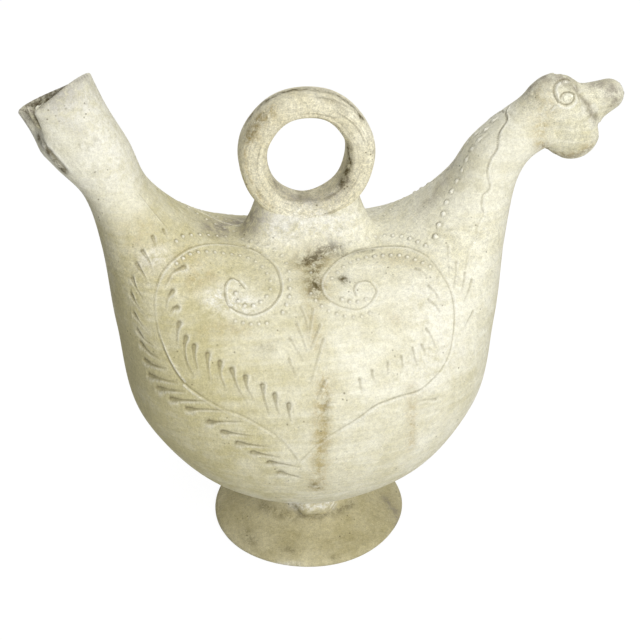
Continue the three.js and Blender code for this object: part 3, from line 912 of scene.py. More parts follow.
def to_new_mesh(bm: bmesh.types.BMesh, name: str) -> bpy.types.Mesh:
    """Turns a bmesh into a mesh of that name and frees it."""
    mesh = bpy.data.meshes.new(name)
    bm.to_mesh(mesh)
    bm.free()
    return mesh


def open_edges(bm: bmesh.types.BMesh) -> list[bmesh.types.BMEdge]:
    """The edges round the openings of a mesh."""
    return [edge for edge in bm.edges if edge.is_boundary]


def extrude_edges(bm: bmesh.types.BMesh, edges: list[bmesh.types.BMEdge]) -> tuple[
        list[bmesh.types.BMVert], list[bmesh.types.BMEdge]]:
    """Extrudes edges on the spot and gives the new points and edges."""
    made = bmesh.ops.extrude_edge_only(bm, edges=edges)["geom"]
    return ([item for item in made if isinstance(item, bmesh.types.BMVert)],
            [item for item in made if isinstance(item, bmesh.types.BMEdge)])


def boundary_loops(bm: bmesh.types.BMesh) -> list[list[bmesh.types.BMEdge]]:
    """The open edges of a mesh, one list for each opening."""
    loose = dict.fromkeys(open_edges(bm))
    loops = []
    while loose:
        stack, loop = [loose.popitem()[0]], []
        while stack:
            edge = stack.pop()
            loop.append(edge)
            for vert in edge.verts:
                for other in vert.link_edges:
                    if other in loose:
                        del loose[other]
                        stack.append(other)
        loops.append(loop)
    return loops


def loop_centre(loop: list[bmesh.types.BMEdge]) -> Vector:
    """Middle of an opening."""
    total = Vector()
    for edge in loop:
        total += edge.verts[0].co + edge.verts[1].co
    return total / (2 * len(loop))


def seal_wall(outer: bmesh.types.BMesh, inner: bmesh.types.BMesh) -> None:
    """Joins an inner wall to an outer one and closes the clay between their openings.

    Args:
        outer: the outer wall, which takes the result.
        inner: the inner wall, freed here.
    """
    holder = to_new_mesh(inner, "inner_wall")
    outer_loops = boundary_loops(outer)
    known = set(outer.verts)
    outer.from_mesh(holder)
    bpy.data.meshes.remove(holder)
    inner_loops = [loop for loop in boundary_loops(outer) if loop[0].verts[0] not in known]
    for loop in outer_loops:
        middle = loop_centre(loop)
        partner = min(inner_loops, key=lambda other: (loop_centre(other) - middle).length)
        inner_loops.remove(partner)
        bmesh.ops.bridge_loops(outer, edges=loop + partner)
    left_over = len(boundary_loops(outer))
    if left_over:
        log.warning("%d openings were left open", left_over)


def even_wear(points: np.ndarray) -> tuple[np.ndarray, np.ndarray]:
    """The same moderate wear at every point."""
    return np.full(len(points), 0.5), np.full(len(points), 0.3)


def ring_wear(points: np.ndarray) -> tuple[np.ndarray, np.ndarray]:
    """Little wear and a rough face."""
    return np.full(len(points), 0.3), np.full(len(points), 1.3)


class Piece:
    """Turns a finished bmesh into a piece of the frame."""

    def __init__(self, name: str, node: str, slot: str, finish: bpy.types.Material) -> None:
        """Keeps what the piece is called, stands for and is dressed in."""
        self.name, self.node, self.slot, self.finish = name, node, slot, finish

    def make(self, bm: bmesh.types.BMesh, keep_normals: bool = False,
             wear: Wear = even_wear) -> bpy.types.Object:
        """Places the mesh and hands it to the frame.

        Args:
            bm: the closed mesh, in millimetres from the foot's axis, freed here.
            keep_normals: shade it with the normals kept in its layers.
            wear: how worn and rough the clay is at each point, where the mesh doesn't say it yet.

        Returns:
            The piece.
        """
        bmesh.ops.recalc_face_normals(bm, faces=bm.faces)
        mesh = bpy.data.meshes.new(self.name)
        bm.to_mesh(mesh)
        if Tint.WORN.value not in mesh.attributes:
            paint(mesh, BVHTree.FromBMesh(bm), wear)
        bm.free()
        mesh.transform(PLACE)
        mesh.shade_smooth()
        if keep_normals:
            self.shade(mesh)
        mesh.materials.append(self.finish)
        piece = bpy.data.objects.new(self.name, mesh)
        bpy.context.collection.objects.link(piece)
        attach(piece, "root")
        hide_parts(self.node)
        triangles = sum(len(face.vertices) - 2 for face in mesh.polygons)
        log.info("%s stands for %s with %d triangles", self.name, self.node, triangles)
        return piece

    @staticmethod
    def shade(mesh: bpy.types.Mesh) -> None:
        """Uses the kept normals, so that a luted seam doesn't show in the shading."""
        normals = np.stack([read_layer(mesh, name) for name in NORMAL_LAYERS], axis=1)
        mesh.normals_split_custom_set_from_vertices(normals.tolist())
        for name in NORMAL_LAYERS:
            mesh.attributes.remove(mesh.attributes[name])


def read_layer(mesh: bpy.types.Mesh, name: str) -> np.ndarray:
    """Values of a point attribute."""
    values = np.zeros(len(mesh.vertices), np.float32)
    mesh.attributes[name].data.foreach_get("value", values)
    return values


def write_layer(mesh: bpy.types.Mesh, name: str, values: np.ndarray) -> None:
    """Sets a point attribute, and makes it where it is missing."""
    layer = mesh.attributes.get(name) or mesh.attributes.new(name, "FLOAT", "POINT")
    layer.data.foreach_set("value", np.asarray(values, np.float32))


def coordinates(mesh: bpy.types.Mesh) -> np.ndarray:
    """The mesh's points as an array."""
    values = np.zeros(len(mesh.vertices) * 3, np.float32)
    mesh.vertices.foreach_get("co", values)
    return values.reshape(-1, 3).astype(float)


def search_tree(mesh: bpy.types.Mesh) -> BVHTree:
    """Search tree of a mesh."""
    bm = bmesh.new()
    bm.from_mesh(mesh)
    tree = BVHTree.FromBMesh(bm)
    bm.free()
    return tree


def point_normals(mesh: bpy.types.Mesh) -> np.ndarray:
    """The mesh's smooth normals as an array."""
    values = np.zeros(len(mesh.vertices) * 3, np.float32)
    mesh.vertex_normals.foreach_get("vector", values)
    return values.reshape(-1, 3).astype(float)


def set_coordinates(mesh: bpy.types.Mesh, points: np.ndarray) -> None:
    """Moves the mesh's points."""
    mesh.vertices.foreach_set("co", np.asarray(points, np.float32).ravel())
    mesh.update()


def store_normals(mesh: bpy.types.Mesh) -> None:
    """Writes the smooth normals to layers, which every piece cut from the mesh carries on."""
    normals = point_normals(mesh)
    for axis, name in enumerate(NORMAL_LAYERS):
        write_layer(mesh, name, normals[:, axis])


def engrave(mesh: bpy.types.Mesh, engraver: Engraver) -> None:
    """Cuts the marks into a mesh, with a layer for their dirt and painted shade and one for the painted
    highlight on their burrs.

    Args:
        mesh: the mesh, in millimetres.
        engraver: the marks.
    """
    points, normals = coordinates(mesh), point_normals(mesh)
    result = np.array([engraver.cut(Vector(point)) for point in points])
    set_coordinates(mesh, points + normals * result[:, :1])
    write_layer(mesh, "groove_dirt_and_shade", result[:, 1])
    write_layer(mesh, "burr_highlight", result[:, 2])


def refine_near(bm: bmesh.types.BMesh, engraver: Engraver, radius: float) -> None:
    """Halves the edges that lie near a mark."""
    near = {vert for vert in bm.verts if engraver.distance(vert.co) < radius}
    edges = [edge for edge in bm.edges if edge.verts[0] in near and edge.verts[1] in near]
    bmesh.ops.subdivide_edges(bm, edges=edges, cuts=1, use_grid_fill=True)


# The hen's skin


@dataclass(frozen=True)
class Station:
    """One section of the hen: its ends in the plane of symmetry, half its width, and where that lies."""

    back: tuple[float, float]
    breast: tuple[float, float]
    half: float
    widest: float = 0.5


HEN_STATIONS: tuple[Station, ...] = (
    Station((-121, 325), (-165.9, 301), 21), Station((-111, 297.5), (-154.3, 280), 21.5),
    Station((-100, 274), (-143.5, 265.5), 23), Station((-91.5, 250), (-129.5, 247.5), 27),
    Station((-75.5, 231.5), (-122, 214.5), 37.5, 0.48), Station((-58.5, 219.5), (-118, 165), 59, 0.46),
    Station((-38, 211.5), (-108.5, 108), 82, 0.46), Station((-19, 209), (-64, 55.5), 95, 0.48),
    Station((0, 208), (0, 36.5), 99), Station((18, 208.5), (61, 56), 95, 0.48),
    Station((36, 209.5), (102, 103.5), 82, 0.46), Station((55, 216), (115, 158.5), 59, 0.46),
    Station((71.5, 228.5), (120.5, 206.5), 36.5, 0.48), Station((86, 243.5), (124.5, 236), 25.5),
    Station((97, 262.5), (130.5, 251), 21), Station((113, 277.5), (138.5, 258.5), 19.5),
    Station((132.5, 292.5), (148, 260), 14.5))


@dataclass
class HenSkin:
    """Belly, back, tail and neck, which flow into each other and are cut apart at their luted seams."""

    stations: tuple[Station, ...] = HEN_STATIONS
    fullness: float = 2.15
    wall: float = 6.5
    rim_wall: float = 4.0
    pinch_angle: float = math.pi + 0.45
    pinch_depth: float = 0.34
    pinch_width: float = 0.48
    pinch_stations: float = 1.45
    lobe_swell: float = 0.08
    lobe_angle: float = 2.35
    lip: tuple[float, float, float, float, float] = (-119.0, 318.4, 0.5675, 0.4, 0.0081)
    notch_angle: float = math.pi + 0.1
    notch_half_angle: float = 0.28
    notch_stations: float = 0.5
    rim_height_stations: float = 0.07
    mouth_station: float = 1.2
    tail_root_station: float = 3.4
    neck_root_station: float = 12.6
    head_station: float = 15.1
    belly_seam_z: float = 148.0
    angles: int = 224
    row_length: float = 2.7
    refine_radii: tuple[float, float] = (3.8, 1.95)
    wall_angles: int = 64
    wall_row_length: float = 6.0

    def sections(self, station: np.ndarray) -> np.ndarray:
        """Back x and z, breast x and z, half width and widest place of each station, smoothly between."""
        table = np.array([(*s.back, *s.breast, s.half, s.widest) for s in self.stations], float)
        padded = np.vstack([2 * table[0] - table[1], table, 2 * table[-1] - table[-2]])
        held = np.clip(station, 0, len(table) - 1)
        knot = np.minimum(held.astype(int), len(table) - 2)
        t = (held - knot)[:, None]
        p0, p1, p2, p3 = padded[knot], padded[knot + 1], padded[knot + 2], padded[knot + 3]
        return 0.5 * (2 * p1 + (p2 - p0) * t + (2 * p0 - 5 * p1 + 4 * p2 - p3) * t ** 2
                      + (3 * p1 - p0 - 3 * p2 + p3) * t ** 3)

    def points(self, station: np.ndarray, cosine: np.ndarray, sine: np.ndarray,
               grow: np.ndarray) -> np.ndarray:
        """Points of the skin.

        Args:
            station: place along the hen, from the tail mouth to the head.
            cosine: cosine of the angle round the section, 1 at the back and -1 at the breast.
            sine: sine of that angle, 1 on the +Y side.
            grow: distance outwards from the skin, negative for the inside of the wall.

        Returns:
            An array of points.
        """
        section = self.sections(station)
        back, breast, half, widest = section[:, 0:2], section[:, 2:4], section[:, 4], section[:, 5]
        axis = back - breast
        length = np.linalg.norm(axis, axis=1)
        axis = axis / length[:, None]
        size = np.hypot(cosine, sine)
        cosine, sine = cosine / size, sine / size
        power = 2 / self.fullness
        along = np.sign(cosine) * np.abs(cosine) ** power
        across = np.sign(sine) * np.abs(sine) ** power
        reach = np.where(along > 0, (1 - widest) * length, widest * length) + grow
        angle = np.mod(np.arctan2(sine, cosine), 2 * math.pi)
        fade = np.clip(1 - station / self.pinch_stations, 0, 1)
        eased = fade * fade * (3 - 2 * fade)
        pinch = self.pinch_depth * np.exp(-((angle - self.pinch_angle) / self.pinch_width) ** 2)
        swell = self.lobe_swell * np.exp(-((angle - self.lobe_angle) / self.pinch_width) ** 2)
        place = widest * length + along * reach + length * eased * (pinch - swell)
        flat = breast + axis * place[:, None]
        return np.stack([flat[:, 0], across * (half + grow), flat[:, 1]], axis=1)

    def lip_stations(self, angles: np.ndarray) -> np.ndarray:
        """Station at which the lip of the tail mouth ends, for each angle."""
        steps = np.linspace(0, self.mouth_station, 121)
        x0, z0, slope, tilt, twist = self.lip
        above = np.zeros((len(steps), len(angles)))
        for i, step in enumerate(steps):
            spots = self.points(np.full(len(angles), step), np.cos(angles), np.sin(angles),
                                np.zeros(len(angles)))
            dx = spots[:, 0] - x0
            above[i] = spots[:, 2] - (z0 + slope * dx - tilt * spots[:, 1] - twist * dx * spots[:, 1])
        result = np.zeros(len(angles))
        for j in range(len(angles)):
            over = np.nonzero(above[:, j] > 0)[0]
            result[j] = steps[over[-1]] if len(over) else 0.0
        away = np.abs(angles - self.notch_angle) / self.notch_half_angle
        notch = np.clip(1 - away, 0, 1)
        result += self.notch_stations * notch * notch * (3 - 2 * notch)
        kernel = np.array([1, 2, 3, 2, 1]) / 9
        return np.convolve(np.concatenate([result[-2:], result, result[:2]]), kernel, mode="valid")

    def row_stations(self, start: float, end: float, spacing: float) -> np.ndarray:
        """Stations of evenly spaced rows between two stations."""
        fine = np.linspace(start, end, 400)
        middle = self.sections(fine)
        middle = (middle[:, 0:2] + middle[:, 2:4]) / 2
        edge = self.sections(fine)[:, 2:4]
        path = (middle + edge) / 2
        run = np.concatenate([[0], np.cumsum(np.linalg.norm(np.diff(path, axis=0), axis=1))])
        count = max(2, round(run[-1] / spacing))
        return np.interp(np.linspace(0, run[-1], count + 1), run, fine)

    def outer_rows(self) -> list[tuple[float, float, float, float]]:
        """Rows of the visible skin as share of the way from the lip, station, growth and rim share."""
        rows = []
        inner_steps, rim_steps, lip_steps = 12, 7, 16
        for i in range(inner_steps + 1):
            share = 1 - i / inner_steps
            wall = self.rim_wall + (self.wall - self.rim_wall) * share
            rows.append((share, self.mouth_station, -wall, 0.0))
        for i in range(1, rim_steps):
            turn = math.pi * (1 - i / rim_steps)
            rows.append((0.0, self.mouth_station, -self.rim_wall / 2 * (1 - math.cos(turn)), math.sin(turn)))
        for i in range(lip_steps):
            rows.append((i / lip_steps, self.mouth_station, 0.0, 0.0))
        stops = [self.mouth_station, self.tail_root_station, self.neck_root_station, self.head_station,
                 float(len(self.stations) - 1)]
        for start, end in zip(stops, stops[1:]):
            rows += [(1.0, float(s), 0.0, 0.0) for s in self.row_stations(start, end, self.row_length)[:-1]]
        rows.append((1.0, stops[-1], 0.0, 0.0))
        return rows

    def grid(self, rows: list[tuple[float, float, float, float]], angles: int) -> bmesh.types.BMesh:
        """Lofts rows into one tube, with its station, angle and growth kept in layers.

        Args:
            rows: rows as outer_rows gives them.
            angles: number of points round a row.

        Returns:
            The tube, open at both ends.
        """
        bm = bmesh.new()
        keys = [bm.verts.layers.float.new(name) for name in STATION_LAYERS]
        bmesh.ops.create_grid(bm, x_segments=len(rows) - 1, y_segments=angles, size=0.5)
        turns = np.linspace(0, 2 * math.pi, angles, endpoint=False)
        lips = self.lip_stations(turns) + self.rim_height_stations
        for vert in bm.verts:
            row = round((vert.co.x + 0.5) * (len(rows) - 1))
            column = round((vert.co.y + 0.5) * angles) % angles
            share, end, grow, rim = rows[row]
            station = end if share == 1.0 else lips[column] + (end - lips[column]) * share
            station -= self.rim_height_stations * rim
            values = (station, math.cos(turns[column]), math.sin(turns[column]), grow)
            for key, value in zip(keys, values):
                vert[key] = value
        self.put(bm)
        bmesh.ops.remove_doubles(bm, verts=bm.verts, dist=1e-3)
        return bm

    def put(self, bm: bmesh.types.BMesh) -> None:
        """Moves every point to where its layers say."""
        keys = [bm.verts.layers.float[name] for name in STATION_LAYERS]
        table = np.array([[vert[key] for key in keys] for vert in bm.verts])
        for vert, point in zip(bm.verts, self.points(*table.T)):
            vert.co = point

    def inner_wall(self, start: float, end: float, above: float | None = None) -> bmesh.types.BMesh:
        """Inside of the wall between two stations.

        Args:
            start: first station.
            end: last station.
            above: 1 keeps what lies above the belly seam, -1 what lies below it, and None all of it.

        Returns:
            The wall, open at its ends.
        """
        stations = self.row_stations(start, end, self.wall_row_length)
        bm = self.grid([(1.0, float(station), -self.wall, 0.0) for station in stations], self.wall_angles)
        if above is not None:
            geometry = bm.verts[:] + bm.edges[:] + bm.faces[:]
            bmesh.ops.bisect_plane(bm, geom=geometry, plane_co=(0, 0, self.belly_seam_z),
                                   plane_no=(0, 0, -above), clear_outer=True)
        return bm

    def part(self, whole: bpy.types.Mesh, wanted: np.ndarray) -> bmesh.types.BMesh:
        """Copy of some of the whole skin's faces."""
        bm = bmesh.new()
        bm.from_mesh(whole)
        bm.faces.ensure_lookup_table()
        unwanted = [bm.faces[i] for i in np.nonzero(~wanted)[0]]
        bmesh.ops.delete(bm, geom=unwanted, context="FACES")
        return bm

    def build_whole(self) -> bpy.types.Mesh:
        """The engraved skin from the inside of the tail mouth to the head."""
        bm = self.grid(self.outer_rows(), self.angles)
        smooth = BVHTree.FromBMesh(bm)
        engraver = Engraver(smooth).lay(hen_marks())
        for radius in self.refine_radii:
            refine_near(bm, engraver, radius)
            self.put(bm)
        bmesh.ops.recalc_face_normals(bm, faces=bm.faces)
        whole = to_new_mesh(bm, "hen_skin")
        if self.points_inwards(whole):
            whole.flip_normals()
        points, normals = coordinates(whole), point_normals(whole)
        set_coordinates(whole, points - normals * undulation(points)[:, None])
        engrave(whole, engraver)
        paint(whole, smooth, self.wear)
        cut = bmesh.new()
        cut.from_mesh(whole)
        bmesh.ops.bisect_plane(cut, geom=cut.verts[:] + cut.edges[:] + cut.faces[:],
                               plane_co=(0, 0, self.belly_seam_z), plane_no=(0, 0, 1), dist=0.02)
        cut.to_mesh(whole)
        cut.free()
        store_normals(whole)
        return whole

    @staticmethod
    def wear(points: np.ndarray) -> tuple[np.ndarray, np.ndarray]:
        """How worn and rough the skin is: most worn on the tail's side and roughest on the shoulder.

        Args:
            points: an array of points, in millimetres.

        Returns:
            How worn and how rough each point is.
        """
        along, height = points[:, 0], points[:, 2]
        low = np.clip((225 - height) / 60, 0, 1)
        under_head = np.clip((262 - height) / 30, 0, 1)
        tail_side = np.clip((20 - along) / 90, 0, 1)
        shoulder = np.exp(-((height - 216) / 16) ** 2)
        worn = 0.17 + 0.18 * low + (0.1 * low + 0.66 * under_head) * tail_side
        return worn, 0.3 + 0.6 * shoulder

    def points_inwards(self, mesh: bpy.types.Mesh) -> bool:
        """Whether the normals of the belly point into it."""
        points, normals = coordinates(mesh), point_normals(mesh)
        low = points[:, 2] < 100
        centre = np.array([0.0, 0.0, 120.0])
        return float(((points[low] - centre) * normals[low]).sum()) < 0

    def build(self, finishes: dict[str, bpy.types.Material]) -> BVHTree:
        """Makes the five pieces of the skin.

        Args:
            finishes: materials by name.

        Returns:
            The finished skin, for what is luted to it.
        """
        whole = self.build_whole()
        station, height = read_layer(whole, "station"), coordinates(whole)[:, 2]
        corners = [list(face.vertices) for face in whole.polygons]
        mean_station = np.array([station[c].mean() for c in corners])
        mean_height = np.array([height[c].mean() for c in corners])
        trunk = (mean_station > self.tail_root_station) & (mean_station < self.neck_root_station)
        high = mean_height > self.belly_seam_z
        tail = (mean_station > self.mouth_station) & (mean_station < self.tail_root_station)
        neck = (mean_station > self.neck_root_station) & (mean_station < self.head_station)
        parts = (
            ("belly_bowl", trunk & ~high, (self.tail_root_station, self.neck_root_station, -1)),
            ("back_dome", trunk & high, (self.tail_root_station, self.neck_root_station, 1)),
            ("tail_tube", tail, (self.mouth_station, self.tail_root_station, None)),
            ("neck_tube", neck, (self.neck_root_station, self.head_station, None)),
        )
        for node, wanted, (start, end, above) in parts:
            bm = self.part(whole, wanted)
            seal_wall(bm, self.inner_wall(start, end, above))
            Piece(f"clay_{node}", node, "cream_clay", finishes["cream"]).make(bm, keep_normals=True)
        mouth = self.part(whole, mean_station < self.mouth_station)
        loops = boundary_loops(mouth)
        bmesh.ops.bridge_loops(mouth, edges=[edge for loop in loops for edge in loop])
        Piece("clay_tail_mouth", "tail_mouth", "cream_clay", finishes["cream"]).make(mouth, keep_normals=True)
        tree = search_tree(whole)
        bpy.data.meshes.remove(whole)
        return tree


# Turned pieces


def turned(profile: list[tuple[float, float]], steps: int) -> bmesh.types.BMesh:
    """Closed ring turned from a closed profile of radius and height about the Z axis.

    Args:
        profile: points of the profile.
        steps: number of steps round the axis.

    Returns:
        The turned mesh.
    """
    bm = bmesh.new()
    verts = [bm.verts.new((radius, 0, z)) for radius, z in profile]
    edges = [bm.edges.new((a, b)) for a, b in zip(verts, verts[1:] + verts[:1])]
    bmesh.ops.spin(bm, geom=verts + edges, cent=(0, 0, 0), axis=(0, 0, 1), angle=2 * math.pi, steps=steps,
                   use_merge=True, use_normal_flip=False, use_duplicate=False)
    bmesh.ops.remove_doubles(bm, verts=bm.verts, dist=1e-4)
    return bm


@dataclass
class Foot:
    """Flared, hollow foot, and the coil of clay smeared round its joint with the belly."""

    radius: float = 64.5
    stem_radius: float = 30.0
    stem_z: float = 28.0
    top_z: float = 41.5
    wall: float = 7.0
    coil_radius: float = 5.4
    coil_z: float = 38.5
    coil_sag: float = 13.0
    coil_sides: int = 20
    steps: int = 192

    def pedestal(self) -> bmesh.types.BMesh:
        """The foot, a little uneven as it came off the wheel."""
        outside = smooth_path((
            (self.radius - 0.6, 0.7), (self.radius, 2.2), (self.radius - 1.6, 4.4), (self.radius - 7, 7),
            (self.radius - 19, 11.5), (self.stem_radius + 4.5, 17.5), (self.stem_radius, self.stem_z),
            (self.stem_radius + 1.5, self.top_z)), 1.6)
        inside = smooth_path((
            (self.stem_radius - self.wall, self.top_z), (self.stem_radius - self.wall + 1.5, 16),
            (self.radius - 26, 6), (self.radius - 8, 1.2), (self.radius - 5.6, 0.0)), 3.0)
        bm = turned([(self.radius - 1.6, 0.0)] + outside + inside, self.steps)
        for vert in bm.verts:
            angle = math.atan2(vert.co.y, vert.co.x)
            reach = math.hypot(vert.co.x, vert.co.y)
            share = max(0.0, 1 - vert.co.z / self.stem_z)
            throw = 0.16 * math.sin(reach * 1.9 + 2.2 * math.sin(angle)) * min(1.0, vert.co.z / 4)
            wave = share * (0.35 * math.sin(2 * angle + 0.6) + 0.22 * math.sin(5 * angle + 2.0) - 0.5)
            factor = 1 + (wave + throw) / max(reach, 20)
            vert.co.x *= factor
            vert.co.y *= factor
        return bm

    def coil(self) -> bmesh.types.BMesh:
        """The smeared coil, lumpy where fingers pressed it."""
        section = []
        for i in range(self.coil_sides):
            turn = 2 * math.pi * i / self.coil_sides
            section.append((self.stem_radius + 2.5 + self.coil_radius * math.cos(turn),
                            self.coil_z + self.coil_radius * math.sin(turn)))
        bm = turned(section, self.steps)
        for vert in bm.verts:
            angle = math.atan2(vert.co.y, vert.co.x)
            lump = (0.8 * math.sin(3 * angle + 0.5) + 0.6 * math.sin(7 * angle + 1.2)
                    + 0.35 * math.sin(17 * angle)) * 0.9
            front = math.exp(-((angle + math.pi / 2 - 0.05) / 0.42) ** 4)
            reach = math.hypot(vert.co.x, vert.co.y)
            out = max(0.0, reach - self.stem_radius) / self.coil_radius
            low = max(0.0, (self.coil_z + self.coil_radius - vert.co.z) / (2 * self.coil_radius))
            factor = 1 + out * (lump + 1.6 * front) / reach
            vert.co.x *= factor
            vert.co.y *= factor
            vert.co.z -= low * (0.6 * max(0.0, out * lump) + self.coil_sag * front)
        return bm

    def build(self, finishes: dict[str, bpy.types.Material]) -> None:
        """Makes both pieces."""
        Piece("clay_foot_pedestal", "foot_pedestal", "foot_clay", finishes["foot"]).make(self.pedestal())
        Piece("clay_foot_coil", "foot_luting_coil", "foot_clay", finishes["foot"]).make(self.coil())


@dataclass
class RingHandle:
    """Thrown ring that stands on the back, and the fillet of clay that lutes it there."""

    centre_z: float = 261.5
    radius: float = 31.8
    half_thickness: float = 8.2
    half_depth: float = 12.0
    squareness: float = 0.62
    hole_stretch: float = 0.10
    sides: int = 56
    steps: int = 216
    fillet_half_length: float = 47.0
    fillet_half_width: float = 25.0
    fillet_squareness: float = 0.78
    fillet_side_start: float = 0.48
    fillet_end_start: float = 0.62
    fillet_power: float = 2.7
    fillet_floor: float = 2.5
    fillet_lift: float = 0.05
    fillet_marks_to: float = 0.96
    fillet_blend: float = 0.08
    fillet_depth: float = 0.66
    fillet_rings: int = 34
    fillet_sides: int = 220
    sink: float = 5.0

    def ring(self) -> bmesh.types.BMesh:
        """The ring, with throwing ridges on its faces."""
        section = []
        for i in range(self.sides):
            turn = 2 * math.pi * i / self.sides
            x, y = math.cos(turn), math.sin(turn)
            x = math.copysign(abs(x) ** self.squareness, x)
            y = math.copysign(abs(y) ** self.squareness, y)
            section.append((self.radius + x * self.half_thickness, y * self.half_depth))
        bm = turned(section, self.steps)
        bmesh.ops.rotate(bm, verts=bm.verts, cent=(0, 0, 0), matrix=Matrix.Rotation(math.pi / 2, 3, "X"))
        groove_dirt_and_shade = bm.verts.layers.float.new("groove_dirt_and_shade")
        for vert in bm.verts:
            reach = math.hypot(vert.co.x, vert.co.z)
            angle = math.atan2(vert.co.z, vert.co.x)
            inwards = max(0.0, (self.radius + self.half_thickness - reach) / (2 * self.half_thickness))
            face = abs(vert.co.y) / self.half_depth
            ridge = math.sin(reach * 2.3 + 0.8 * math.sin(angle * 2)) + 0.5 * math.sin(reach * 4.1 + 1.0)
            vert.co.y -= math.copysign(0.16 * ridge * face ** 4 + 0.15 + 0.2 * math.sin(angle * 3 + 1) ** 2,
                                       vert.co.y) * min(1.0, face * 2)
            # Darker in the troughs of the throwing ridges.
            vert[groove_dirt_and_shade] = 0.16 * max(0.0, -ridge) * face ** 4 * (0.6 + 0.4 * math.sin(angle * 2 + 2))
            turned_line = math.sin(vert.co.y * 1.9 + 0.5 * math.sin(angle * 3))
            wave = 0.25 * math.sin(3 * angle + 0.4) + 0.18 * math.sin(7 * angle) - 0.35 + 0.12 * turned_line
            factor = 1 + wave / reach
            vert.co.x *= factor
            vert.co.z = vert.co.z * factor * (1 + self.hole_stretch * inwards) + self.centre_z
        return bm

    def fillet_height(self, x: float, share: float, start: float, back_z: float) -> float:
        """Height of the fillet over the back.

        Args:
            x: place along the hen.
            share: 0 in the middle of the fillet and 1 on its edge.
            start: share at which it begins to slope down.
            back_z: height of the back there.

        Returns:
            The height, none on the edge and up into the ring in the middle.
        """
        outer = self.radius + self.half_thickness
        under_ring = self.centre_z - math.sqrt(max(0.0, outer ** 2 - min(abs(x), outer * 0.93) ** 2))
        full = under_ring + self.sink - back_z
        rise = min(1.0, max(0.0, (1 - share) / (1 - start)))
        return full * rise ** self.fillet_power

    def fillet_net(self) -> bmesh.types.BMesh:
        """Flat net of radius 1, in rings of points from its edge to a filled middle."""
        bm = bmesh.new()
        bmesh.ops.create_circle(bm, cap_ends=False, segments=self.fillet_sides, radius=1.0)
        edge_loop = bm.edges[:]
        for i in range(1, self.fillet_rings):
            verts, edge_loop = extrude_edges(bm, edge_loop)
            share = 1 - self.fillet_depth * i / (self.fillet_rings - 1)
            for vert in verts:
                reach = math.hypot(vert.co.x, vert.co.y)
                vert.co.x, vert.co.y = vert.co.x / reach * share, vert.co.y / reach * share
        bmesh.ops.contextual_create(bm, geom=edge_loop)
        return bm

    def fillet(self, skin: BVHTree) -> bmesh.types.BMesh:
        """The fillet, lofted from its edge on the back up to the ring, with the marks that run over it.

        Args:
            skin: the finished skin that it sits on.

        Returns:
            The closed mesh, with its normals kept in layers.
        """
        bm = self.fillet_net()
        keys = [bm.verts.layers.float.new(name) for name in NORMAL_LAYERS]
        # Layers for the marks' dirt and painted shade and for their painted highlight.
        marks = [bm.verts.layers.float.new(name) for name in ("groove_dirt_and_shade", "burr_highlight")]
        lows = {}
        for vert in bm.verts:
            share = math.hypot(vert.co.x, vert.co.y)
            angle = math.atan2(vert.co.y, vert.co.x)
            wander = 1 + 0.02 * math.sin(3 * angle + 1.0) + 0.015 * math.sin(7 * angle)
            across, along = math.sin(angle), math.cos(angle)
            start = self.fillet_side_start + (self.fillet_end_start - self.fillet_side_start) * along ** 2
            x, y = (math.copysign(abs(part) ** self.fillet_squareness, part) * half * wander * share
                    for part, half in ((along, self.fillet_half_length), (across, self.fillet_half_width)))
            spot, normal, _, _ = skin.ray_cast(Vector((x, y, self.centre_z - 30)), Vector((0, 0, -1)))
            lift = (self.fillet_height(x, share, start, spot.z)
                    + self.fillet_lift * min(1.0, (1 - share) * 20))
            vert.co = Vector((x, y, spot.z + lift))
            lows[vert] = (share, normal)
        engraver = Engraver(BVHTree.FromBMesh(bm)).lay(hen_marks())
        bm.normal_update()
        for vert in bm.verts:
            if lows[vert][0] < self.fillet_marks_to:
                rise, vert[marks[0]], vert[marks[1]] = engraver.cut(vert.co)
                vert.co.z += rise
        bm.normal_update()
        for vert, (share, normal) in lows.items():
            own = vert.normal if vert.normal.z > 0 else -vert.normal
            weight = min(1.0, max(0.0, (1 - share) / self.fillet_blend))
            shown = (normal * (1 - weight) + own * weight).normalized()
            for key, value in zip(keys, shown):
                vert[key] = value
        for vert in extrude_edges(bm, open_edges(bm))[0]:
            vert.co.z -= self.fillet_floor
            for key in keys:
                vert[key] = 0.0
        bmesh.ops.contextual_create(bm, geom=open_edges(bm))
        return bm

    def build(self, finishes: dict[str, bpy.types.Material], skin: BVHTree) -> None:
        """Makes both pieces."""
        Piece("clay_ring_handle", "ring_handle", "ring_clay", finishes["ring"]).make(
            self.ring(), wear=ring_wear)
        Piece("clay_handle_saddle", "handle_saddle", "cream_clay", finishes["cream"]).make(
            self.fillet(skin), keep_normals=True, wear=HenSkin.wear)


# Head


EYE_SPIRAL: Pixels = (
    (570, 81), (566, 79.5), (560, 80.5), (555.5, 84.5), (554, 90), (556, 97), (560, 103), (566, 105.5),
    (572, 103.5), (575, 98.5), (573, 94), (567.5, 92.5), (562.5, 95), (561, 99))
EYE_STROKES: tuple[Pixels, ...] = (((554, 106), (549, 111)), ((572, 84), (577, 92), (580, 101)))
BILL_CREASE: Pixels = ((577.5, 86), (578, 94), (584, 102), (590, 110), (596, 119))
EYE_SPIRAL_BITE, EYE_STROKE_BITE, BILL_CREASE_BITE = Bite(0.85, 0.55), Bite(0.55, 0.3), Bite(1.9, 0.2)


def head_marks() -> list[Mark]:
    """The marks of the head and those that run on from the neck."""
    return [Mark(MarkKind.LINE, EYE_SPIRAL, EYE_SPIRAL_BITE),
            *(Mark(MarkKind.LINE, stroke, EYE_STROKE_BITE) for stroke in EYE_STROKES),
            Mark(MarkKind.LINE, BILL_CREASE, BILL_CREASE_BITE), *neck_marks()]


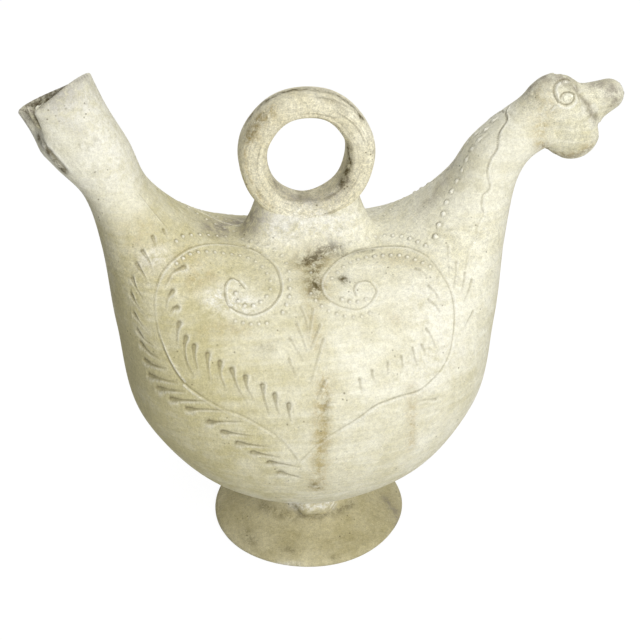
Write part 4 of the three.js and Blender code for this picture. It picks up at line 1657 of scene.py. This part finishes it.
@dataclass
class Head:
    """Round head with its bill, its cheek and the two eyes, melted together as wet clay is."""

    skin: HenSkin
    cranium: tuple[float, float, float] = (146.0, 286.6, 15.9)
    cheek: tuple[float, float, float] = (158.3, 267.0, 16.4)
    bill_root: tuple[float, float, float] = (154.0, 279.0, 14.0)
    bill_end: tuple[float, float, float] = (178.0, 288.8, 9.2)
    spout_radius: float = 3.8
    spout_depth: float = 17.0
    spout_lip: float = 1.2
    voxel: float = 0.8
    softness: float = 2.4
    settle_steps: int = 4
    smoothing: int = 3
    eye_pixel: Pixel = (567.0, 98.5)
    eye_radius: float = 2.5
    eye_height: float = 0.9
    join_length: float = 9.0
    join_reach: float = 45.0
    draw_distance: float = 1.6
    blend_length: float = 3.0
    blend_distance: float = 0.8
    neck_start: float = 14.2
    neck_row_length: float = 1.5
    neck_angles: int = 96
    neck_search: float = 40.0
    mark_reach: float = 5.0
    refine_radius: float = 2.4
    wear_length: float = 15.0
    worn: float = 0.42
    rough: float = 1.2
    cheek_cut: Plane = ((146, 0, 252.9), (0.568, 0, -0.823))
    bill_cut: Plane = ((162, 0, 286), (0.827, 0, 0.563))

    @property
    def bill_axis(self) -> tuple[Vector, Vector, float]:
        """Root and direction of the bill, and how far its end ball lies from the root."""
        root = Vector((self.bill_root[0], 0, self.bill_root[1]))
        end = Vector((self.bill_end[0], 0, self.bill_end[1]))
        return root, (end - root).normalized(), (end - root).length

    def ball(self, place: tuple[float, float, float]) -> bmesh.types.BMesh:
        """A ball at x and z with a radius."""
        bm = bmesh.new()
        bmesh.ops.create_uvsphere(bm, u_segments=64, v_segments=40, radius=place[2])
        bmesh.ops.translate(bm, verts=bm.verts, vec=(place[0], 0, place[1]))
        return bm

    def bill(self) -> bmesh.types.BMesh:
        """The bill, thick at its root and blunt at its tip."""
        root, direction, length = self.bill_axis
        base, tip = self.bill_root[2], self.bill_end[2]
        bm = bmesh.new()
        bmesh.ops.create_cone(bm, cap_ends=True, segments=64, radius1=base, radius2=tip, depth=length)
        turn = Vector((0, 0, 1)).rotation_difference(direction).to_matrix().to_4x4()
        bm.transform(Matrix.Translation(root + direction * length / 2) @ turn)
        return bm

    def neck_end(self) -> bmesh.types.BMesh:
        """The last stretch of the neck, closed at both ends, which the head is modelled onto."""
        last = float(len(self.skin.stations) - 1)
        stations = self.skin.row_stations(self.neck_start, last, self.neck_row_length)
        bm = self.skin.grid([(1.0, float(station), 0.0, 0.0) for station in stations], self.neck_angles)
        for loop in boundary_loops(bm):
            bmesh.ops.contextual_create(bm, geom=loop)
        bmesh.ops.triangulate(bm, faces=[face for face in bm.faces if len(face.verts) > 4])
        return bm

    def melted(self) -> bpy.types.Mesh:
        """All forms of the head joined and smoothed into one skin."""
        joined = bmesh.new()
        neck = self.neck_end()
        bmesh.ops.recalc_face_normals(neck, faces=neck.faces)
        neck_surface = BVHTree.FromBMesh(neck)
        balls = [self.ball(place) for place in (self.cranium, self.cheek, self.bill_end)]
        for bm in (neck, *balls, self.bill()):
            bmesh.ops.recalc_face_normals(bm, faces=bm.faces)
            holder = to_new_mesh(bm, "head_part")
            joined.from_mesh(holder)
            bpy.data.meshes.remove(holder)
        mesh = to_new_mesh(joined, "head_parts")
        for layer in list(mesh.attributes):
            if layer.name in STATION_LAYERS:
                mesh.attributes.remove(layer)
        holder = bpy.data.objects.new("head_parts", mesh)
        bpy.context.collection.objects.link(holder)
        remesh = holder.modifiers.new("melt", "REMESH")
        remesh.mode, remesh.voxel_size, remesh.adaptivity = "VOXEL", self.voxel, 0.0
        shape = holder.evaluated_get(bpy.context.evaluated_depsgraph_get())
        bm = bmesh.new()
        bm.from_mesh(shape.to_mesh())
        bpy.data.objects.remove(holder)
        for _ in range(self.settle_steps):
            for vert, move in zip(bm.verts, self.melting(np.array([v.co for v in bm.verts]), neck_surface)):
                vert.co -= Vector(move)
        for _ in range(self.smoothing):
            bmesh.ops.smooth_vert(bm, verts=bm.verts, factor=0.5, use_axis_x=True, use_axis_y=True,
                                  use_axis_z=True)
        return to_new_mesh(bm, "head_skin")

    def melting(self, points: np.ndarray, neck: BVHTree) -> np.ndarray:
        """How far points lie from the softly joined forms.

        Args:
            points: an array of points.
            neck: the end of the neck.

        Returns:
            Each point's way out from the joined surface to the point.
        """
        distances, ways = [], []
        for x, z, radius in (self.cranium, self.cheek):
            out = points - np.array([x, 0.0, z])
            size = np.linalg.norm(out, axis=1)
            distances.append(size - radius)
            ways.append(out / size[:, None])
        root, direction, length = self.bill_axis
        base, tip = self.bill_root[2], self.bill_end[2]
        out, axis = points - np.array(root), np.array(direction)
        along = out @ axis
        radial = out - along[:, None] * axis
        reach = np.maximum(np.linalg.norm(radial, axis=1), 1e-6)
        slope = (base - tip) / length
        rise = math.sqrt(1 - slope * slope)
        place = along * rise - reach * slope
        held = np.clip(place / rise, 0, length)
        radius = base - held * slope
        from_axis = radial + (along - held)[:, None] * axis
        size = np.maximum(np.linalg.norm(from_axis, axis=1), 1e-6)
        side = radial / reach[:, None] * rise + slope * axis
        flat = (place > 0) & (place < length * rise)
        distances.append(np.where(flat, reach * rise + along * slope - base, size - radius))
        ways.append(np.where(flat[:, None], side, from_axis / size[:, None]))
        away = np.full(len(points), self.neck_search)
        normals = np.tile(np.array([1.0, 0.0, 0.0]), (len(points), 1))
        for i, point in enumerate(points):
            spot, normal, _, _ = neck.find_nearest(Vector(point), self.neck_search)
            if spot is not None:
                out = Vector(point) - spot
                away[i] = math.copysign(out.length, out.dot(normal))
                normals[i] = out / away[i] if out.length > 1e-3 else normal
        distances.append(away)
        ways.append(normals)
        table = np.stack(distances)
        weights = np.exp(-(table - table.min(axis=0)) / self.softness)
        joined = table.min(axis=0) - self.softness * np.log(weights.sum(axis=0))
        way = (weights[:, :, None] * np.stack(ways)).sum(axis=0)
        way /= np.maximum(np.linalg.norm(way, axis=1), 1e-6)[:, None]
        return way * joined[:, None]

    def neck_plane(self) -> tuple[Vector, Vector]:
        """Point and normal of the joint with the neck, the normal towards the head."""
        back_x, back_z, breast_x, breast_z = self.skin.sections(np.array([self.skin.head_station]))[0, :4]
        along = Vector((back_x - breast_x, 0, back_z - breast_z))
        normal = Vector((0, 1, 0)).cross(along).normalized()
        return Vector(((back_x + breast_x) / 2, 0, (back_z + breast_z) / 2)), normal

    def settle_on_neck(self, whole: bpy.types.Mesh, skin: BVHTree) -> None:
        """Draws the head's lower edge onto the neck, so that they meet without a step.

        Args:
            whole: the head's skin.
            skin: the finished skin of the neck.
        """
        spot, normal = self.neck_plane()
        for vert in whole.vertices:
            away = abs((vert.co - spot).dot(normal))
            if away > self.join_length or (vert.co - spot).length > self.join_reach:
                continue
            nearest, _, _, distance = skin.find_nearest(vert.co)
            if nearest is None or distance > self.draw_distance:
                continue
            share = 1 - away / self.join_length
            vert.co = vert.co.lerp(nearest, share * share * (3 - 2 * share))
        whole.update()

    def open_spout(self, bm: bmesh.types.BMesh) -> None:
        """Bores the pouring hole into the tip of the bill.

        Args:
            bm: the head's skin.
        """
        root, direction, length = self.bill_axis
        end = length + self.bill_end[2]
        near = []
        for vert in bm.verts:
            along = (vert.co - root).dot(direction)
            radial = vert.co - root - direction * along
            if along > end * 0.8 and radial.length < self.spout_radius:
                near.append(vert)
        inside = set(near)
        faces = [face for face in bm.faces if all(vert in inside for vert in face.verts)]
        bmesh.ops.delete(bm, geom=faces, context="FACES")
        edges = open_edges(bm)
        for edge in edges:
            for vert in edge.verts:
                along = (vert.co - root).dot(direction)
                radial = (vert.co - root - direction * along).normalized()
                vert.co = root + direction * along + radial * self.spout_radius
        for depth in (self.spout_lip, 3.0, self.spout_depth):
            verts, edges = extrude_edges(bm, edges)
            for vert in verts:
                radial = vert.co - root - direction * (vert.co - root).dot(direction)
                narrowing = 0.88 if depth > self.spout_lip else 0.95
                vert.co = (root + direction * (end - 1 - depth)
                           + radial.normalized() * self.spout_radius * narrowing)
        bmesh.ops.contextual_create(bm, geom=edges)

    def marked(self, whole: bpy.types.Mesh) -> bpy.types.Mesh:
        """Head with the eyes' spirals and the crease at the bill.

        Args:
            whole: the head's skin.

        Returns:
            The engraved mesh.
        """
        bm = bmesh.new()
        bm.from_mesh(whole)
        self.open_spout(bm)
        engraver = Engraver(BVHTree.FromBMesh(bm), reach=self.mark_reach).lay(head_marks())
        refine_near(bm, engraver, self.refine_radius)
        bm.to_mesh(whole)
        bm.free()
        engrave(whole, engraver)
        return whole

    def cut_away(self, bm: bmesh.types.BMesh, spot: Vector, normal: Vector) -> bmesh.types.BMesh:
        """Keeps what lies behind a plane and caps the cut.

        Args:
            bm: the mesh, changed here.
            spot: a point of the plane.
            normal: the plane's normal, which points at what goes.

        Returns:
            The same mesh.
        """
        bmesh.ops.bisect_plane(bm, geom=bm.verts[:] + bm.edges[:] + bm.faces[:], plane_co=spot,
                               plane_no=normal, clear_outer=True)
        bmesh.ops.holes_fill(bm, edges=open_edges(bm))
        return bm

    def wear(self, points: np.ndarray) -> tuple[np.ndarray, np.ndarray]:
        """How worn and rough the head is, from the neck's state at the joint to its own."""
        spot, normal = self.neck_plane()
        share = np.clip((points - np.array(spot)) @ np.array(normal) / self.wear_length, 0, 1)
        neck_worn, neck_rough = self.skin.wear(points)
        return neck_worn * (1 - share) + self.worn * share, neck_rough * (1 - share) + self.rough * share

    def build(self, finishes: dict[str, bpy.types.Material], neck: BVHTree) -> None:
        """Makes the head, the bill, the cheek and the eyes.

        Args:
            finishes: materials by name.
            neck: the finished skin of the neck.
        """
        whole = self.melted()
        self.settle_on_neck(whole, neck)
        whole = self.marked(whole)
        store_normals(whole)
        paint(whole, search_tree(whole), self.wear)
        self.match_neck_normals(whole, neck)
        neck_spot, neck_normal = self.neck_plane()
        cheek_spot, cheek_normal = map(Vector, self.cheek_cut)
        bill_spot, bill_normal = map(Vector, self.bill_cut)
        cuts = {
            "cheek_bulb": ((cheek_spot, -cheek_normal),),
            "bill_spout": ((cheek_spot, cheek_normal), (bill_spot, -bill_normal)),
            "head_shell": ((cheek_spot, cheek_normal), (bill_spot, bill_normal), (neck_spot, -neck_normal)),
        }
        for node, planes in cuts.items():
            bm = bmesh.new()
            bm.from_mesh(whole)
            for spot, normal in planes:
                self.cut_away(bm, spot, normal)
            Piece(f"clay_{node}", node, "cream_clay", finishes["cream"]).make(bm, keep_normals=True)
        head = search_tree(whole)
        bpy.data.meshes.remove(whole)
        for node, side in (("eye_left", 1), ("eye_right", -1)):
            Piece(f"clay_{node}", node, "cream_clay", finishes["cream"]).make(self.eyeball(head, side),
                                                                             wear=self.wear)

    def match_neck_normals(self, whole: bpy.types.Mesh, neck: BVHTree) -> None:
        """Blends the head's kept normals into the neck's at their joint."""
        spot, normal = self.neck_plane()
        layers = [read_layer(whole, name) for name in NORMAL_LAYERS]
        for vert in whole.vertices:
            away = abs((vert.co - spot).dot(normal))
            if away > self.blend_length or (vert.co - spot).length > self.join_reach:
                continue
            _, other, _, distance = neck.find_nearest(vert.co)
            if other is None or distance > self.blend_distance:
                continue
            share = 1 - away / self.blend_length
            for axis in range(3):
                layers[axis][vert.index] = layers[axis][vert.index] * (1 - share) + other[axis] * share
        for name, values in zip(NORMAL_LAYERS, layers):
            write_layer(whole, name, values)

    def eyeball(self, head: BVHTree, side: int) -> bmesh.types.BMesh:
        """Small raised eyeball in the middle of the spiral.

        Args:
            head: the head's finished skin.
            side: 1 for +Y and -1 for -Y.

        Returns:
            The closed mesh.
        """
        spot = VIEW.on_surface(head, self.eye_pixel)
        spot, normal, _, _ = head.ray_cast(Vector((spot.x, side * 60, spot.z)), Vector((0, -side, 0)))
        bm = bmesh.new()
        bmesh.ops.create_uvsphere(bm, u_segments=40, v_segments=24, radius=self.eye_radius)
        turn = Vector((0, 0, 1)).rotation_difference(normal).to_matrix().to_4x4()
        flatten = Matrix.Diagonal((1, 1, self.eye_height / self.eye_radius, 1))
        bm.transform(Matrix.Translation(spot) @ turn @ flatten)
        return bm


# Tongue of the lip


@dataclass
class LipTongue:
    """Folded tongue of clay in the pinch of the tail mouth."""

    pixel: Pixel = (34.5, 117.5)
    at_y: float = -9.0
    size: tuple[float, float, float] = (4.6, 7.0, 15.0)
    lean: float = 0.5

    @property
    def at(self) -> Vector:
        """Its middle, where the photograph shows it."""
        eye, ray = Vector(VIEW.position), VIEW.ray(self.pixel)
        return eye + ray * ((self.at_y - eye.y) / ray.y)

    def mesh(self) -> bmesh.types.BMesh:
        """A lump folded over along its middle."""
        bm = bmesh.new()
        bmesh.ops.create_uvsphere(bm, u_segments=40, v_segments=32, radius=1.0)
        half = [value / 2 for value in self.size]
        for vert in bm.verts:
            x, y, z = vert.co
            fold = 0.22 * math.exp(-(y / 0.35) ** 2)
            vert.co = Vector((half[0] * (x * (1 - fold) + 0.25 * math.sin(2.5 * z)),
                              half[1] * (y + 0.15 * math.sin(3 * z + 1)), half[2] * z))
        bm.transform(Matrix.Translation(self.at) @ Matrix.Rotation(-self.lean, 4, "Y"))
        return bm

    def build(self, finishes: dict[str, bpy.types.Material]) -> None:
        """Makes the piece."""
        Piece("clay_lip_tongue", "lip_tongue", "cream_clay", finishes["cream"]).make(self.mesh())


# Stage


@dataclass(frozen=True)
class Lamp:
    """Square soft light: where it hangs and its side in metres, and its power in watts."""

    name: str
    place: tuple[float, float, float]
    side: float
    watts: float


LAMPS = (Lamp("key_light", (0.43, -1.63, 0.95), 0.9, 24.0),
         Lamp("top_light", (0.15, 0.15, 2.0), 1.5, 13.0),
         Lamp("back_light", (-0.2, 1.9, 1.1), 1.4, 6.0))


@dataclass
class Studio:
    """Pale floor, soft lights and the white behind the pitcher."""

    floor_size: float = 12.0
    floor_glow: float = 0.94
    floor_seen: float = 0.12
    floor_bounce: float = 0.62
    floor_drop: float = 0.0002
    ambient: float = 0.22
    aim_height: float = 0.16

    def camera_white(self, sheet: NodeSheet) -> bpy.types.NodeSocket:
        """1 for what the camera sees directly, or in gloss or through glass, and 0 for other light."""
        path = sheet.add("ShaderNodeLightPath")
        seen = sheet.math("MAXIMUM", path.outputs["Is Camera Ray"], path.outputs["Is Glossy Ray"])
        return sheet.math("MAXIMUM", seen, path.outputs["Is Transmission Ray"])

    def floor(self) -> None:
        """Floor that is white to the camera and keeps the pitcher's shadow."""
        bm = bmesh.new()
        bmesh.ops.create_grid(bm, x_segments=2, y_segments=2, size=self.floor_size / 2)
        bmesh.ops.translate(bm, verts=bm.verts, vec=(0, 0, -self.floor_drop))
        mesh = to_new_mesh(bm, "floor")
        sheet = NodeSheet(bpy.data.materials.new("pale_floor"))
        shown, matte = sheet.add("ShaderNodeBsdfDiffuse"), sheet.add("ShaderNodeBsdfDiffuse")
        sheet.feed(shown.inputs["Color"], (self.floor_seen,) * 3)
        sheet.feed(matte.inputs["Color"], (self.floor_bounce,) * 3)
        glow = sheet.add("ShaderNodeEmission")
        glow.inputs["Strength"].default_value = self.floor_glow
        white = sheet.add("ShaderNodeAddShader")
        sheet.feed(white.inputs[0], shown.outputs[0])
        sheet.feed(white.inputs[1], glow.outputs[0])
        mixed = sheet.add("ShaderNodeMixShader")
        sheet.feed(mixed.inputs[0], self.camera_white(sheet))
        sheet.feed(mixed.inputs[1], matte.outputs[0])
        sheet.feed(mixed.inputs[2], white.outputs[0])
        output = sheet.add("ShaderNodeOutputMaterial")
        sheet.feed(output.inputs["Surface"], mixed.outputs[0])
        mesh.materials.append(sheet.owner)
        floor = bpy.data.objects.new("floor", mesh)
        bpy.context.collection.objects.link(floor)

    def world(self) -> None:
        """White to the camera and a dim, even sky to the pitcher."""
        world = bpy.data.worlds.new("studio")
        bpy.context.scene.world = world
        sheet = NodeSheet(world)
        background = sheet.add("ShaderNodeBackground")
        sheet.feed(background.inputs["Color"], (1.0, 1.0, 1.0))
        strength = sheet.add("ShaderNodeMapRange")
        sheet.feed(strength.inputs["To Min"], self.ambient)
        sheet.feed(strength.inputs["Value"], self.camera_white(sheet))
        sheet.feed(background.inputs["Strength"], strength.outputs["Result"])
        output = sheet.add("ShaderNodeOutputWorld")
        sheet.feed(output.inputs["Surface"], background.outputs[0])

    def lamp(self, lamp: Lamp) -> None:
        """Hangs a lamp so that it faces the pitcher."""
        data = bpy.data.lights.new(lamp.name, "AREA")
        data.shape, data.size, data.energy = "SQUARE", lamp.side, lamp.watts
        light = bpy.data.objects.new(lamp.name, data)
        aim = Vector((FOOT_AXIS_X, 0, self.aim_height)) - Vector(lamp.place)
        light.matrix_world = Matrix.Translation(lamp.place) @ aim.to_track_quat("-Z", "Y").to_matrix().to_4x4()
        bpy.context.collection.objects.link(light)

    def build(self) -> None:
        """Sets the stage."""
        self.floor()
        self.world()
        for lamp in LAMPS:
            self.lamp(lamp)


# The pitcher


# Near-white colour of the painted highlight on the marks' burrs, rims and domes.
RIDGE_HIGHLIGHT = from_srgb(249, 247, 234)
FINISHES = {
    "cream": ClayFinish(
        name="cream_clay", clean=from_srgb(242, 239, 219), worn=from_srgb(202, 194, 150),
        dirt_and_shade_colour=from_srgb(110, 100, 70), ridge=RIDGE_HIGHLIGHT, patina=0.85, grain=0.2, speckle=0.7,
        streaks=(20.0, 20.0, 260.0), streak_depth=0.0005),
    "foot": ClayFinish(
        name="foot_clay", clean=from_srgb(222, 214, 178), worn=from_srgb(182, 172, 128),
        dirt_and_shade_colour=from_srgb(98, 88, 60), ridge=RIDGE_HIGHLIGHT, patina=1.0, grain=0.22, speckle=0.7,
        streaks=(22.0, 22.0, 170.0), streak_depth=0.0007),
    "ring": ClayFinish(
        name="ring_clay", clean=from_srgb(243, 238, 214), worn=from_srgb(206, 195, 152),
        dirt_and_shade_colour=from_srgb(112, 100, 68), ridge=RIDGE_HIGHLIGHT, patina=0.9, grain=0.23, speckle=0.9,
        streaks=(24.0, 24.0, 24.0), streak_depth=0.0008, rings=True),
}


def main() -> None:
    """Builds the pitcher, the stage and the camera."""
    logging.basicConfig(level=logging.INFO, format="%(message)s")
    scene = bpy.context.scene
    scene.view_settings.view_transform = "Standard"
    VIEW.make_camera()
    Studio().build()
    skin = HenSkin()
    finishes = {name: ClayMaterial(finish).build() for name, finish in FINISHES.items()}
    finished_skin = skin.build(finishes)
    Foot().build(finishes)
    RingHandle().build(finishes, finished_skin)
    Head(skin).build(finishes, finished_skin)
    LipTongue().build(finishes)


if __name__ == "__main__":
    main()
